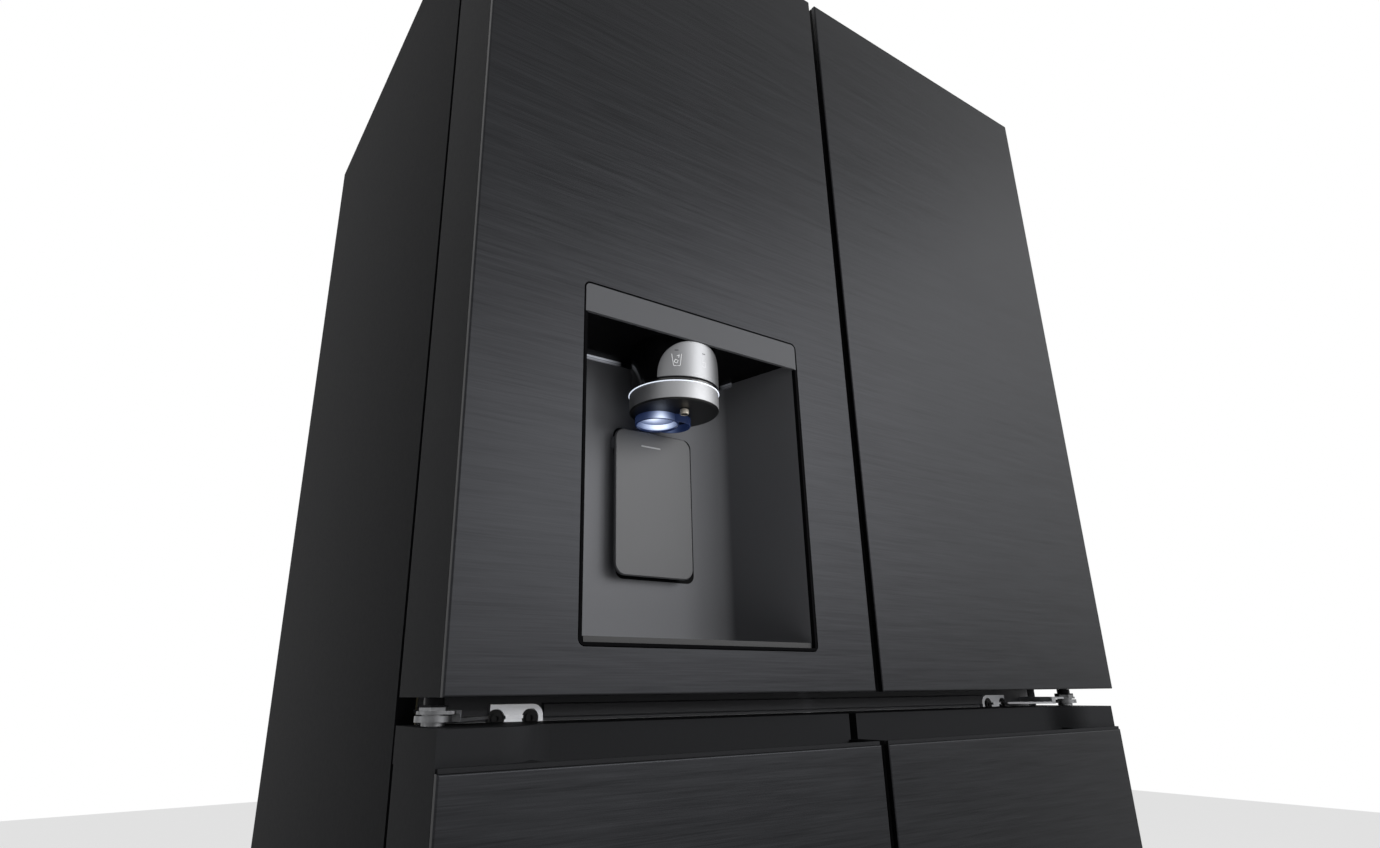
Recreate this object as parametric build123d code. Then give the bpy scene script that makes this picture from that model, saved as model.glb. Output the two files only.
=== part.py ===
"""French door refrigerator: two upper doors over two lower doors.

Millimetres. +X is to the right seen from the front, +Y to the back, +Z up.
The origin is on the floor, under the middle of the overall box.
"""
import os
from math import radians, sin

from build123d import *

# ---- overall ----
width = 912.0
depth = 742.0
height = 1790.0

# ---- doors ----
door_gap = 10.6            # between the left and the right doors
door_depth = 106.5         # front skin to the back of the door's edge
seal_gap = 4.5             # door back to cabinet front, filled by the gasket
upper_bottom = 866.0       # lower edge of the upper doors
middle_gap = 21.5          # between the upper and the lower doors
lower_bottom = 55.0
skin = 1.0                 # door skin, sheet
skin_return = 6.0          # the skin's folded edge
skin_seam = 0.8
lip_drop = 28.5            # top of the lower door's skin, under the door's top
lip_rise = 3.4             # the grip's lip, above the skin
lip_wall = 5.0
grip_wall = 40.0           # front of the door to the back wall of the grip
grip_depth = 34.0
grip_start = 105.0         # from the door's hinge side to the straight grip
grip_end_wall = 2.0
pocket_height = 22.0       # grip pocket under the upper doors
hinge_in = 14.5            # hinge axis from the door's side
hinge_back = 60.0          # hinge axis from the door's front

# ---- gasket, inner panel of a door ----
gasket_hinge_side = 18.0
gasket_edge = 6.0
gasket_width = 14.0
gasket_clear = 0.3
panel = 2.0
dike_depth = 25.0
dike_width = 22.0
dike_clear = 12.0

# ---- cabinet ----
sheet = 1.2
flange = 16.0
case_bottom = 25.0
hinge_cover_height = 14.5
wall_foam = 48.8
top_foam = 39.3
rear_rib = 6.0
fridge_floor = 890.0
freezer_ceiling = 822.0
freezer_floor = 120.0
foam_bottom = 62.0
liner = 2.0
divider = 56.0
rear_foam = 64.0
machine_depth = 214.0
machine_top = 250.0
step_foam = 50.0
step_wall = 40.0

# ---- hinges ----
pin_r = 5.0
pin_clear = 0.1
pin_length = 14.0
arm = 2.5
screw_r = 4.6
screw_flange_r = 7.6
screw_head = 2.6
shank_r = 2.5

# ---- dispenser ----
trim_left = 107.7          # trim, from the door's left edge
trim_width = 264.9
trim_bottom = 37.8         # trim, above the door's lower edge
trim_height = 328.0
bezel_height = 29.8
trim_rim = 3.0
tub_wall = 2.5
trim_seam = 0.7            # between the door's skin and the trim
recess_depth = 99.5
recess_taper = 25.4        # each side wall draws in by this much
recess_corner = 10.0
ceiling_over_bezel = 7.0
head_back = 47.8           # axis of the head, behind the door's front
head_r = 42.0
plate_r = 44.0
plate_half_angle = 56.0
ring_r = 46.3
ring_wall = 1.5
ring_inner = ring_r - ring_wall
ring_bottom = 273.3
ring_height = 18.9
chute_drop = 8.3
paddle_width = 95.0
paddle_height = 152.0
paddle_top = 262.7
paddle_back = 85.6
paddle_wall = 3.5

# ---- inside ----
shelf_setback = 110.0      # shelf front, behind the cabinet's front
shelf_pitch = 155.0        # least distance between shelves
glass = 4.0
shelf_frame = 8.0
crisper_setback = 123.0
crisper_lift = 15.0        # crisper over the fridge floor
crisper_height = 170.0
crisper_inset = 71.0       # clears the open door
crisper_cover_height = 14.0
crisper_cover_gap = 6.0
freezer_setback = 49.0
freezer_inset = 62.0
drawer_lift = 15.0
drawer_rise = 30.0         # between the freezer drawers
bin_reach = 97.5           # from the door's inner panel
bin_pitch = 200.0          # least distance between door bins
bin_height = 105.0
wall = 2.5                 # walls of drawers and bins

# ---- feet and rollers ----
foot_r = 20.0
foot_in = 56.0
foot_back = 24.0
roller_r = 16.0
roller_width = 22.0

# ---- what follows from these ----
side = width / 2
front = -depth / 2
back = depth / 2
rear_face = back - rear_rib
door_width = (width - door_gap) / 2
door_back = front + door_depth
cabinet_front = door_back + seal_gap
case_top = height - hinge_cover_height
door_clear_top = 1.5
upper_top = case_top - door_clear_top
lower_top = upper_bottom - middle_gap
free_x = -door_gap / 2
axis_x = -side + hinge_in
axis_y = front + hinge_back
foam_front = cabinet_front + sheet
foam_back = rear_face - sheet
cavity_x = side - sheet - wall_foam
cavity_top = case_top - sheet - top_foam
cavity_back = foam_back - rear_foam
shelf_front = cabinet_front + shelf_setback
crisper_front = cabinet_front + crisper_setback
freezer_front = cabinet_front + freezer_setback
crisper_top = fridge_floor + crisper_lift + crisper_height
cover_top = crisper_top + crisper_cover_gap + crisper_cover_height
bin_rear = door_back + panel + bin_reach
shelf_count = int((cavity_top - cover_top) / shelf_pitch) - 1
shelf_step = (cavity_top - cover_top) / (shelf_count + 1)
shelf_levels = [cover_top + shelf_step * (i + 1) for i in range(shelf_count)]
bin_low = cover_top + 12.0
bin_count = int((cavity_top - 20.0 - bin_low) / bin_pitch)
bin_step = (cavity_top - 20.0 - bin_low) / bin_count
bin_levels = [bin_low + bin_step * i for i in range(bin_count)]
machine_front = foam_back - machine_depth
step_top = machine_top + step_foam
step_front = machine_front - step_wall
divider_x = divider / 2


def block(x0, x1, y0, y1, z0, z1):
    return Pos((x0 + x1) / 2, (y0 + y1) / 2, (z0 + z1) / 2) * Box(x1 - x0, y1 - y0, z1 - z0)


def rod(x, y, z0, z1, r):
    return Pos(x, y, (z0 + z1) / 2) * Cylinder(r, z1 - z0)


def rod_x(x0, x1, y, z, r):
    return Pos((x0 + x1) / 2, y, z) * Rot(0, 90, 0) * Cylinder(r, x1 - x0)


def rod_y(x, y0, y1, z, r):
    return Pos(x, (y0 + y1) / 2, z) * Rot(90, 0, 0) * Cylinder(r, y1 - y0)


def upright(part, r):
    return fillet(part.edges().filter_by(Axis.Z), r)


def right_of(part):
    return mirror(part, about=Plane.YZ)


def both(part):
    return [part, right_of(part)]


def save(name, parts):
    shape = parts if isinstance(parts, list) else [parts]
    solids = [s for p in shape for s in p.solids()]
    for s in solids:
        s.label = name
    export_step(solids[0] if len(solids) == 1 else Compound(children=solids), "parts/" + name + ".step")


def frame_ring(x0, x1, z0, z1, y0, y1, w, r):
    """A flat ring round an opening, w wide, standing in the XZ plane."""
    outer = block(x0, x1, y0, y1, z0, z1)
    inner = block(x0 + w, x1 - w, y0 - 1, y1 + 1, z0 + w, z1 - w)
    outer = fillet(outer.edges().filter_by(Axis.Y), r)
    inner = fillet(inner.edges().filter_by(Axis.Y), max(r - w, 2))
    return outer - inner


def tray(x0, x1, y0, y1, z0, z1, r, rim):
    """An open box with round corners and a rim turned outwards at the top."""
    body = upright(block(x0, x1, y0, y1, z0, z1), r)
    body = chamfer(body.faces().sort_by(Axis.Z)[0].edges(), 4)
    if rim > 0:
        body += upright(block(x0 - rim, x1 + rim, y0, y1, z1 - 3, z1), r)
    hollow = upright(block(x0 + wall, x1 - wall, y0 + wall, y1 - wall, z0 + wall, z1 + 1), r - wall)
    return body - hollow


# ---------------------------------------------------------------- cabinet

def outer_case():
    shell = block(-side, side, cabinet_front, rear_face, case_bottom, case_top)
    shell = fillet(shell.edges().filter_by(Axis.Y).group_by(Axis.Z)[-1], 3)
    inside = block(-side + sheet, side - sheet, cabinet_front + sheet, rear_face + 1,
                   case_bottom - 1, case_top - sheet)
    mouth = block(-side + flange, side - flange, cabinet_front - 1, cabinet_front + 2 * sheet,
                  case_bottom - 1, case_top - flange)
    toe = block(-side + sheet, side - sheet, cabinet_front - 1, cabinet_front + 2 * sheet,
                case_bottom - 1, foam_bottom)
    return shell - inside - mouth - toe - top_screw_holes()


def rear_panel():
    x = side - sheet
    plate = block(-x, x, foam_back, rear_face, machine_top, case_top - sheet)
    for cx in (-0.5 * side, 0.5 * side):
        rib = block(cx - 30, cx + 30, rear_face, back, machine_top + 60, case_top - 80)
        plate += chamfer(rib.faces().sort_by(Axis.Y)[-1].edges(), rear_rib * 0.8)
    return plate


def insulation():
    x = side - sheet
    slabs = [
        block(-x, x, foam_front, foam_back, cavity_top, case_top - sheet),
        block(-x, -cavity_x, foam_front, foam_back, foam_bottom, cavity_top),
        block(cavity_x, x, foam_front, foam_back, foam_bottom, cavity_top),
        block(-cavity_x, cavity_x, cavity_back, foam_back, fridge_floor, cavity_top),
        block(-cavity_x, cavity_x, foam_front, foam_back, freezer_ceiling, fridge_floor),
        block(-cavity_x, cavity_x, cavity_back, foam_back, step_top, freezer_ceiling),
        block(-cavity_x, cavity_x, step_front, foam_back, machine_top, step_top),
        block(-cavity_x, cavity_x, step_front, machine_front, freezer_floor, machine_top),
        block(-cavity_x, cavity_x, foam_front, machine_front, foam_bottom, freezer_floor),
        block(-divider_x, divider_x, foam_front, step_front, freezer_floor, step_top),
        block(-divider_x, divider_x, foam_front, cavity_back, step_top, freezer_ceiling),
    ]
    return slabs


def fridge_liner():
    pan = block(-cavity_x, cavity_x, foam_front, cavity_back, fridge_floor, cavity_top)
    pan = fillet(pan.edges().filter_by(Axis.Y), 8)
    hollow = block(-cavity_x + liner, cavity_x - liner, foam_front - 1, cavity_back - liner,
                   fridge_floor + liner, cavity_top - liner)
    hollow = fillet(hollow.edges().filter_by(Axis.Y), 8 - liner)
    hollow = chamfer(hollow.faces().sort_by(Axis.Y)[-1].edges(), 5)
    lip = block(-side + flange, side - flange, cabinet_front, foam_front, upper_bottom, case_top - flange)
    mouth = block(-cavity_x + liner, cavity_x - liner, cabinet_front - 1, foam_front + 1,
                  fridge_floor + liner, cavity_top - liner)
    pan = (pan - hollow) + (lip - fillet(mouth.edges().filter_by(Axis.Y), 8 - liner))
    ledges = []
    for z in shelf_levels:
        ledge = block(-cavity_x + liner, -cavity_x + liner + 9, shelf_front + 20, cavity_back - liner - 5,
                      z - glass - shelf_frame - 8, z - glass - shelf_frame)
        ledges.append(ledge)
        ledges.append(right_of(ledge))
    for ledge in ledges:
        pan += ledge
    return pan


def freezer_outline(inset):
    """Side view of a freezer space, over the step for the machine room."""
    points = [
        (foam_front - 1, freezer_floor + inset),
        (step_front - inset, freezer_floor + inset),
        (step_front - inset, step_top + inset),
        (cavity_back - inset, step_top + inset),
        (cavity_back - inset, freezer_ceiling - inset),
        (foam_front - 1, freezer_ceiling - inset),
    ]
    return points


def prism_x(points, x0, x1):
    """A YZ outline carried from x0 to x1."""
    wire = Polyline(*[(0, y, z) for y, z in points], close=True)
    return Pos(x0, 0, 0) * extrude(Face(Wire(wire.edges())), x1 - x0, dir=(1, 0, 0))


def freezer_liner():
    pan = prism_x(freezer_outline(0), -cavity_x, -divider_x)
    pan -= block(-side, 0, foam_front - 5, foam_front, 0, height)
    hollow = prism_x(freezer_outline(liner), -cavity_x + liner, -divider_x - liner)
    lip = block(-side + flange, 0, cabinet_front, foam_front, foam_bottom, lower_top)
    mouth = block(-cavity_x + liner, -divider_x - liner, cabinet_front - 1, foam_front + 1,
                  freezer_floor + liner, freezer_ceiling - liner)
    return (pan - hollow) + (lip - mouth)


def centre_beam():
    x = side - flange - 2
    cover = block(-x, x, cabinet_front, foam_front, lower_top, upper_bottom)
    strip = block(-beam_x, beam_x, cabinet_front - beam_proud, cabinet_front, beam_low, beam_high)
    cover += fillet(strip.edges().filter_by(Axis.X).group_by(Axis.Y)[0], 1.5)
    for x in middle_screws:
        for sgn in (-1, 1):
            cover -= rod_y(sgn * x, cabinet_front - 1, foam_front + 1, middle_screw_z, shank_r + 0.1)
    return cover


beam_proud = 4.0
beam_low = lower_top + 2.8
beam_high = upper_bottom - 6.4


def base_frame():
    x = side - sheet
    rail = block(-x, -x + 26, cabinet_front + 10, foam_back - 5, case_bottom, foam_bottom)
    rail -= block(-x + 3, -x + 27, cabinet_front + 60, foam_back - 80, case_bottom - 1, foam_bottom - 4)
    rear = block(-x, -x + 50, roller_y - 30, foam_back - 5, case_bottom, foam_bottom)
    fork = block(-roller_x - roller_width / 2 - 6, -roller_x + roller_width / 2 + 6,
                 roller_y - 10, roller_y + 10, roller_r - 8, case_bottom + 4)
    fork -= block(-roller_x - roller_width / 2 - 1.5, -roller_x + roller_width / 2 + 1.5,
                  roller_y - 11, roller_y + 11, 0, case_bottom + 10)
    corner = block(-x, -x + 90, cabinet_front + 10, cabinet_front + 60, foam_bottom - 22, foam_bottom)
    half = rail + rear + corner
    half -= block(-roller_x - roller_width / 2 - 1.5, -roller_x + roller_width / 2 + 1.5,
                  roller_y - roller_r - 4, roller_y + roller_r + 4, 0, roller_r * 2 + 8)
    half += fork
    half -= rod_x(-side, 0, roller_y, roller_r, 4 + pin_clear)
    half -= rod(-foot_x, foot_y, 0, foam_bottom + 1, 6 + pin_clear)
    cross = block(-x + 20, x - 20, cabinet_front + 10, cabinet_front + 16, case_bottom, foam_bottom)
    tray_plate = block(-x + 20, x - 20, machine_front, foam_back - 5, case_bottom + 10, case_bottom + 13)
    return half + right_of(half) + cross + tray_plate


foot_x = side - foot_in
foot_y = cabinet_front + foot_back + 10
roller_x = side - 30.0
roller_y = foam_back - 50.0


def kick_plate():
    x = side - 66
    plate = block(-x, x, cabinet_front + 4, cabinet_front + 10, 14, 44)
    plate = fillet(plate.edges().filter_by(Axis.X).group_by(Axis.Y)[0], 2)
    slots = [block(40 * i - 14, 40 * i + 14, 0, 600, z, z + 4) for i in range(-7, 8) for z in (22, 32)]
    slots = [Pos(0, cabinet_front, 0) * s for s in slots]
    return plate - Compound(children=slots)


louvre_pitch = 60.0
louvre_width = 44.0
louvre_count = 6           # to each side of the middle one
gland_x = side - 60.0      # mains inlet on one side, water inlet on the other
gland_z = 215.0


def machine_cover():
    """Rear cover of the machine room, with louvres, the mains gland and the water inlet."""
    x = side - sheet - 4
    plate = block(-x, x, foam_back, rear_face, case_bottom + 13, machine_top)
    rows = range(-louvre_count, louvre_count + 1)
    half = louvre_width / 2
    slots = [block(louvre_pitch * i - half, louvre_pitch * i + half, 0, back + 10, z, z + 6)
             for i in rows for z in (90, 120, 150, 180)]
    plate -= Compound(children=slots)
    gland = rod_y(gland_x, rear_face, back - 0.5, gland_z, 9)
    gland -= rod_y(gland_x, rear_face + 1, back, gland_z, 4)
    union = rod_y(-gland_x, rear_face, back - 0.5, gland_z, 10)
    union -= rod_y(-gland_x, rear_face + 1, back, gland_z, 5)
    return plate + gland + union


compressor_x = -0.44 * side
compressor_y = machine_front + 100.0
tray_top = case_bottom + 13.0


def compressor():
    feet = block(compressor_x - 90, compressor_x + 90, compressor_y - 60, compressor_y + 60,
                 tray_top, tray_top + 10)
    pot = rod(compressor_x, compressor_y, tray_top + 10, tray_top + 150, 72)
    pot = chamfer(pot.edges().filter_by(GeomType.CIRCLE), 26, 18)
    stub = rod(compressor_x + 40, compressor_y, tray_top + 130, tray_top + 165, 5)
    return upright(feet, 12) + pot + stub


condenser_x0 = 120.0
condenser_x1 = condenser_x0 + 210.0


def condenser():
    y = machine_front + 100
    block_fins = block(condenser_x0, condenser_x1, y - 70, y + 70, tray_top, tray_top + 150)
    grooves = []
    for i in range(1, 14):
        gx = condenser_x0 + i * (condenser_x1 - condenser_x0) / 14
        grooves.append(block(gx - 5, gx + 5, y - 71, y - 50, tray_top + 12, tray_top + 151))
    return block_fins - Compound(children=grooves)


fan_gap = 2.0


def fan(r, thick, blades):
    """A fan about Z: a hub and blades set at a slant."""
    hub = Cylinder(r * 0.28, thick)
    out = hub
    for i in range(blades):
        blade = Pos(r * 0.6, 0, 0) * Rot(28, 0, 0) * Box(r * 0.8, r * 0.55, 1.6)
        out += Rot(0, 0, 360 / blades * i) * blade
    return out & Cylinder(r, thick)


condenser_fan_x = 60.0


def condenser_fan():
    y = machine_front + 100
    shaft = rod_x(condenser_fan_x, condenser_x0 - fan_gap / 4, y, tray_top + 75, 4)
    return Pos(condenser_fan_x, y, tray_top + 75) * Rot(0, 90, 0) * fan(68, 26, 5) + shaft


duct_front = cavity_back - 75.0
duct_wall = 8.0
evaporator_y0 = duct_front + duct_wall + 18
freezer_mid = (cavity_x + divider_x) / 2
evaporator_fan_z = 720.0
evaporator_fan_r = 44.0


def air_ducts():
    top = block(-150, 150, cavity_back - liner - 14, cavity_back - liner, crisper_top + 40, cavity_top - 20)
    top = fillet(top.edges().filter_by(Axis.Z).group_by(Axis.Y)[0], 8)
    vents = [block(-60, 60, 0, cavity_back - liner - 8, z + 60, z + 70) for z in shelf_levels]
    top -= Compound(children=vents)
    ducts = [top]
    for sgn in (-1, 1):
        x0 = sgn * freezer_mid - (cavity_x - divider_x) / 2 + liner
        x1 = sgn * freezer_mid + (cavity_x - divider_x) / 2 - liner
        plate = block(x0, x1, duct_front, duct_front + duct_wall, step_top + liner, freezer_ceiling - liner)
        if sgn < 0:
            plate -= rod_y(-freezer_mid, 0, back, evaporator_fan_z, evaporator_fan_r + 4)
        else:
            plate -= Compound(children=[block(x0 + 60, x1 - 60, 0, back, z, z + 8) for z in (640, 670, 700)])
        ducts.append(plate)
    return ducts


def evaporator():
    x0 = -cavity_x + 40
    x1 = -divider_x - 40
    coil = block(x0, x1, evaporator_y0, cavity_back - liner, step_top + 60, evaporator_fan_z + 80)
    grooves = []
    count = 12
    for i in range(1, count):
        gz = step_top + 60 + i * (evaporator_fan_z + 20 - step_top) / count
        grooves.append(block(x0 - 1, x1 + 1, evaporator_y0 - 1, evaporator_y0 + 6, gz - 8, gz + 8))
    return coil - Compound(children=grooves)


def evaporator_fan():
    y = duct_front + duct_wall / 2
    shaft = rod_y(-freezer_mid, y, evaporator_y0 - 0.3, evaporator_fan_z, 4)
    return Pos(-freezer_mid, y, evaporator_fan_z) * Rot(90, 0, 0) * fan(evaporator_fan_r, 16, 5) + shaft


def shelves():
    plates = []
    frames = []
    x0 = -cavity_x + liner + 0.5
    y1 = cavity_back - liner - 16
    for z in shelf_levels:
        plate = block(x0 + 3, -5, shelf_front + 5, y1 - 3, z - glass, z)
        ring = block(x0, -2, shelf_front, y1, z - glass - shelf_frame, z - glass)
        ring -= block(x0 + 14, -16, shelf_front + 16, y1 - 14, 0, height)
        nose = block(x0, -2, shelf_front, shelf_front + 4.5, z - glass - shelf_frame, z + 2)
        ring += fillet(nose.edges().filter_by(Axis.X).group_by(Axis.Y)[0], 1.5)
        plates += both(plate)
        frames += both(ring)
    return plates, frames


crisper_x0 = -cavity_x + crisper_inset
crisper_x1 = -22.0
freezer_x0 = -cavity_x + freezer_inset
freezer_x1 = -divider_x - 20.0
rim = 8.0
crisper_back = cavity_back - 35.0
low_drawer_z = freezer_floor + drawer_lift
high_drawer_top = freezer_ceiling - 60.0
low_drawer_top = max(step_top + 20, (low_drawer_z + high_drawer_top) / 2 - 25)
freezer_rows = (
    ("bottom", low_drawer_z, low_drawer_top, step_front - 25.0),
    ("top", low_drawer_top + drawer_rise, high_drawer_top, duct_front - 12.0),
)
rail_clear = 0.3


def crisper_cover():
    z0 = crisper_top + crisper_cover_gap
    x = cavity_x - liner - 0.5
    cover = block(-x, x, crisper_front + 12, cavity_back - liner - 6, z0, cover_top)
    cover -= block(-x + 40, x - 40, crisper_front + 52, cavity_back - 60, cover_top - 4, cover_top + 1)
    return cover


def drawer_rails():
    rails = []
    z = crisper_top - 3 - rail_clear
    wide = block(-cavity_x + liner, crisper_x0 - 1, crisper_front + 12, crisper_back - 4, z - 18, z)
    rails += both(wide)
    post = block(-crisper_gap, crisper_gap, crisper_front + 12, crisper_back - 4, fridge_floor + liner, z)
    rails.append(post)
    for name, z0, z1, y1 in freezer_rows:
        z = z1 - 3 - rail_clear
        outer = block(-cavity_x + liner, freezer_x0 - 1, freezer_front + 12, y1 - 4, z - 22, z)
        inner = block(freezer_x1 + 1, -divider_x - liner, freezer_front + 12, y1 - 4, z - 22, z)
        rails += both(outer)
        rails += both(inner)
    return rails


crisper_gap = -crisper_x1 - 1.0


def drawer_front(x0, x1, y, z0, z1):
    """The handled front of a drawer, with a scooped pull along its top."""
    plate = block(x0, x1, y, y + 6, z0, z1)
    plate = fillet(plate.edges().filter_by(Axis.Y), 10)
    mid = (x0 + x1) / 2
    pull = block(mid - 70, mid + 70, y - 12, y, z1 - 34, z1 - 10)
    pull = fillet(pull.edges().filter_by(Axis.X).group_by(Axis.Y)[0], 5)
    scoop = block(mid - 64, mid + 64, y - 7, y, z1 - 35, z1 - 15)
    return plate + (pull - scoop)


def crisper():
    box = tray(crisper_x0, crisper_x1, crisper_front + 5, crisper_back, crisper_top - crisper_height,
               crisper_top, 12, 0)
    rim_bar = block(crisper_x0 - rim, crisper_x0 + 1, crisper_front + 20, crisper_back - 10,
                    crisper_top - 3, crisper_top)
    rim_in = block(crisper_x1 - 1, crisper_x1 + rim, crisper_front + 20, crisper_back - 10,
                   crisper_top - 3, crisper_top)
    face = drawer_front(crisper_x0 - rim, crisper_x1 + rim, crisper_front, crisper_top - crisper_height,
                        crisper_top + 4)
    return box + rim_bar + rim_in + face


def freezer_drawer(z0, z1, y1):
    box = tray(freezer_x0, freezer_x1, freezer_front + 5, y1, z0, z1, 12, 0)
    rim_bar = block(freezer_x0 - rim, freezer_x0 + 1, freezer_front + 20, y1 - 10, z1 - 3, z1)
    rim_in = block(freezer_x1 - 1, freezer_x1 + rim, freezer_front + 20, y1 - 10, z1 - 3, z1)
    face = drawer_front(freezer_x0 - rim, freezer_x1 + rim, freezer_front, z0, z1 + 4)
    return box + rim_bar + rim_in + face


# ---------------------------------------------------------------- hinges

plate_x0 = -side + 80.5
plate_x1 = -side + 131.0
plate_top = upper_bottom - 7.0
plate_low = lower_top - 4.0
plate_thick = 3.5
arm_top = upper_bottom - 10.0
arm_low = arm_top - arm
arm_step_x = axis_x + 24.0
arm_step = 6.2            # the arm drops by this much beside the hub
hub_r = 13.0
middle_screws = (plate_x0 + 5.5, plate_x1 - 12.5)
middle_screw_z = upper_bottom - 18.6
beam_x = -plate_x1 - 0.6
screw_notch_r = screw_flange_r + 0.5
screw_notch_depth = 2.0
top_plate = 3.0
top_screw_x = -side + 40
top_screw_rows = (75, 110)   # behind the hinge axis
top_screw_r = 3.0
foot_plate = 4.0
foot_plate_top = lower_bottom - 5.0


def middle_arm():
    """Sheet arm seen from the front as a step, trimmed to its plan."""
    low = arm_top - arm_step
    side_view = Polyline((axis_x, arm_top), (arm_step_x, arm_top), (arm_step_x, low), (plate_x1 - 12, low),
                         (plate_x1 - 12, low - arm), (arm_step_x - arm, low - arm),
                         (arm_step_x - arm, arm_low),
                         (axis_x, arm_low), close=True)
    strip = extrude(Plane.XZ * Face(Wire(side_view.edges())), side, both=True)
    plan = Polygon((axis_x, axis_y - hub_r), (axis_x + 12, axis_y - hub_r), (arm_step_x, axis_y + 4),
                   (plate_x0 - 2, cabinet_front - 6), (plate_x1 - 12, cabinet_front - 6),
                   (plate_x1 - 12, cabinet_front), (axis_x, cabinet_front), align=None)
    plan = fillet(plan.vertices().group_by(Axis.X)[-1].sort_by(Axis.Y)[0:1], 2)
    return strip & extrude(Pos(0, 0, lower_top - 10) * plan, 40)


def middle_hinge():
    """The bent plate between the doors, with a pin up and a pin down."""
    y_face = cabinet_front - plate_thick
    plate = block(plate_x0, plate_x1, y_face, cabinet_front, plate_low, plate_top)
    plate = fillet(plate.edges().filter_by(Axis.Y).group_by(Axis.Z)[-1].sort_by(Axis.X)[-1:], 10)
    sheet_arm = middle_arm() + rod(axis_x, axis_y, arm_low, arm_top, hub_r)
    nut = extrude(Pos(axis_x, axis_y, arm_top) * RegularPolygon(11.5, 6), 4.2)
    thin = rod(axis_x, axis_y, arm_top + 4.2, upper_bottom - 0.4, 8)
    disc = rod(axis_x, axis_y, arm_low - 5.6, arm_low - 1, hinge_in - 0.2)
    thin_low = rod(axis_x, axis_y, lower_top + 0.4, arm_low, 9)
    pins = rod(axis_x, axis_y, lower_top - pin_length, upper_bottom + pin_length, pin_r)
    body = plate + sheet_arm + nut + thin + disc + thin_low + pins
    for x in middle_screws:
        body -= rod_y(x, y_face - 1, cabinet_front + 1, middle_screw_z, shank_r + 0.1)
        body -= rod_y(x, y_face - 8, y_face + screw_notch_depth, middle_screw_z, screw_notch_r)
    return body


def top_hinge():
    plate = block(-side + 3, -side + 62, axis_y - 12, axis_y + 130, case_top, case_top + top_plate)
    plate = upright(plate, 8)
    pin = rod(axis_x, axis_y, upper_top - pin_length, case_top + top_plate, pin_r)
    body = plate + pin
    for dy in top_screw_rows:
        body -= rod(top_screw_x, axis_y + dy, case_top - 1, case_top + 10, top_screw_r + 0.1)
    return body


def bottom_hinge():
    y_face = cabinet_front + 10
    wing = block(-side + 2, -side + 62, axis_y - 12, y_face, foot_plate_top - foot_plate, foot_plate_top)
    wing = fillet(wing.edges().filter_by(Axis.Z).group_by(Axis.Y)[0], 10)
    flange_plate = block(-side + 2, -side + 62, y_face - foot_plate, y_face, case_bottom + 2, foot_plate_top)
    pin = rod(axis_x, axis_y, foot_plate_top, lower_bottom + pin_length, pin_r)
    washer = rod(axis_x, axis_y, foot_plate_top, lower_bottom - 0.4, 9)
    return wing + flange_plate + pin + washer


def hinge_cover():
    shell = block(-side + 1, -side + 66, axis_y - 16, axis_y + 150, case_top, height)
    shell = upright(shell, 10)
    shell = chamfer(shell.faces().sort_by(Axis.Z)[-1].edges(), 4)
    inside = block(-side + 2.6, -side + 64, axis_y - 13.5, axis_y + 147, case_top - 1, height - 2.5)
    return shell - inside


def top_screw_holes():
    holes = [rod(top_screw_x, axis_y + dy, case_top - 2 * sheet, case_top + 1, top_screw_r + 0.1)
             for dy in top_screw_rows]
    return Compound(children=holes + [right_of(h) for h in holes])


def screw_y(x, z):
    """Flanged cap screw whose head faces the front, with a hexagon socket."""
    y_seat = cabinet_front - plate_thick + screw_notch_depth
    head = rod_y(x, y_seat - screw_head, y_seat, z, screw_r)
    collar = rod_y(x, y_seat - 1.2, y_seat, z, screw_flange_r)
    shank = rod_y(x, y_seat, foam_front, z, shank_r)
    socket = Pos(x, y_seat - screw_head, z) * Rot(-90, 0, 0) * extrude(RegularPolygon(2.6, 6), 1.8)
    return head + collar + shank - socket


def hinge_screws():
    screws = []
    for x in middle_screws:
        screws += both(screw_y(x, middle_screw_z))
    for dy in top_screw_rows:
        head = rod(top_screw_x, axis_y + dy, case_top + top_plate, case_top + top_plate + 4, 2 * top_screw_r)
        shank = rod(top_screw_x, axis_y + dy, case_top - sheet, case_top + top_plate, top_screw_r)
        screws += both(head + shank)
    return screws


# ---------------------------------------------------------------- doors (left side, mirrored for the right)

def door_skin(z0, z1):
    outer = block(-side, free_x, front, front + skin_return, z0, z1)
    outer = fillet(outer.faces().sort_by(Axis.Y)[0].edges(), 1.6)
    inner = block(-side + skin, free_x - skin, front + skin, front + skin_return + 1, z0 + skin, z1 - skin)
    return outer - inner


def bush(z0, z1):
    return rod(axis_x, axis_y, z0, z1, pin_r + pin_clear)


def door_slab(z0, z1):
    """Foamed body of a door: a tongue inside the skin and the full-width sides behind it."""
    y_seam = front + skin_return + skin_seam
    tongue = block(-side + skin, free_x - skin, front + skin, y_seam, z0 + skin, z1 - skin)
    body = block(-side, free_x, y_seam, door_back, z0, z1)
    body = fillet(body.edges().filter_by(Axis.Z).group_by(Axis.Y)[-1], 3)
    return tongue + body


def upper_core():
    slab = door_slab(upper_bottom, upper_top)
    pocket = block(-side + grip_start, free_x - 12, front + 12, front + grip_wall + 5,
                   upper_bottom - 1, upper_bottom + pocket_height)
    pocket = fillet(pocket.faces().sort_by(Axis.Z)[-1].edges(), 6)
    slab -= pocket
    slab -= bush(upper_bottom - 1, upper_bottom + pin_length + 1)
    slab -= bush(upper_top - pin_length - 1, upper_top + 1)
    return slab


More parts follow.
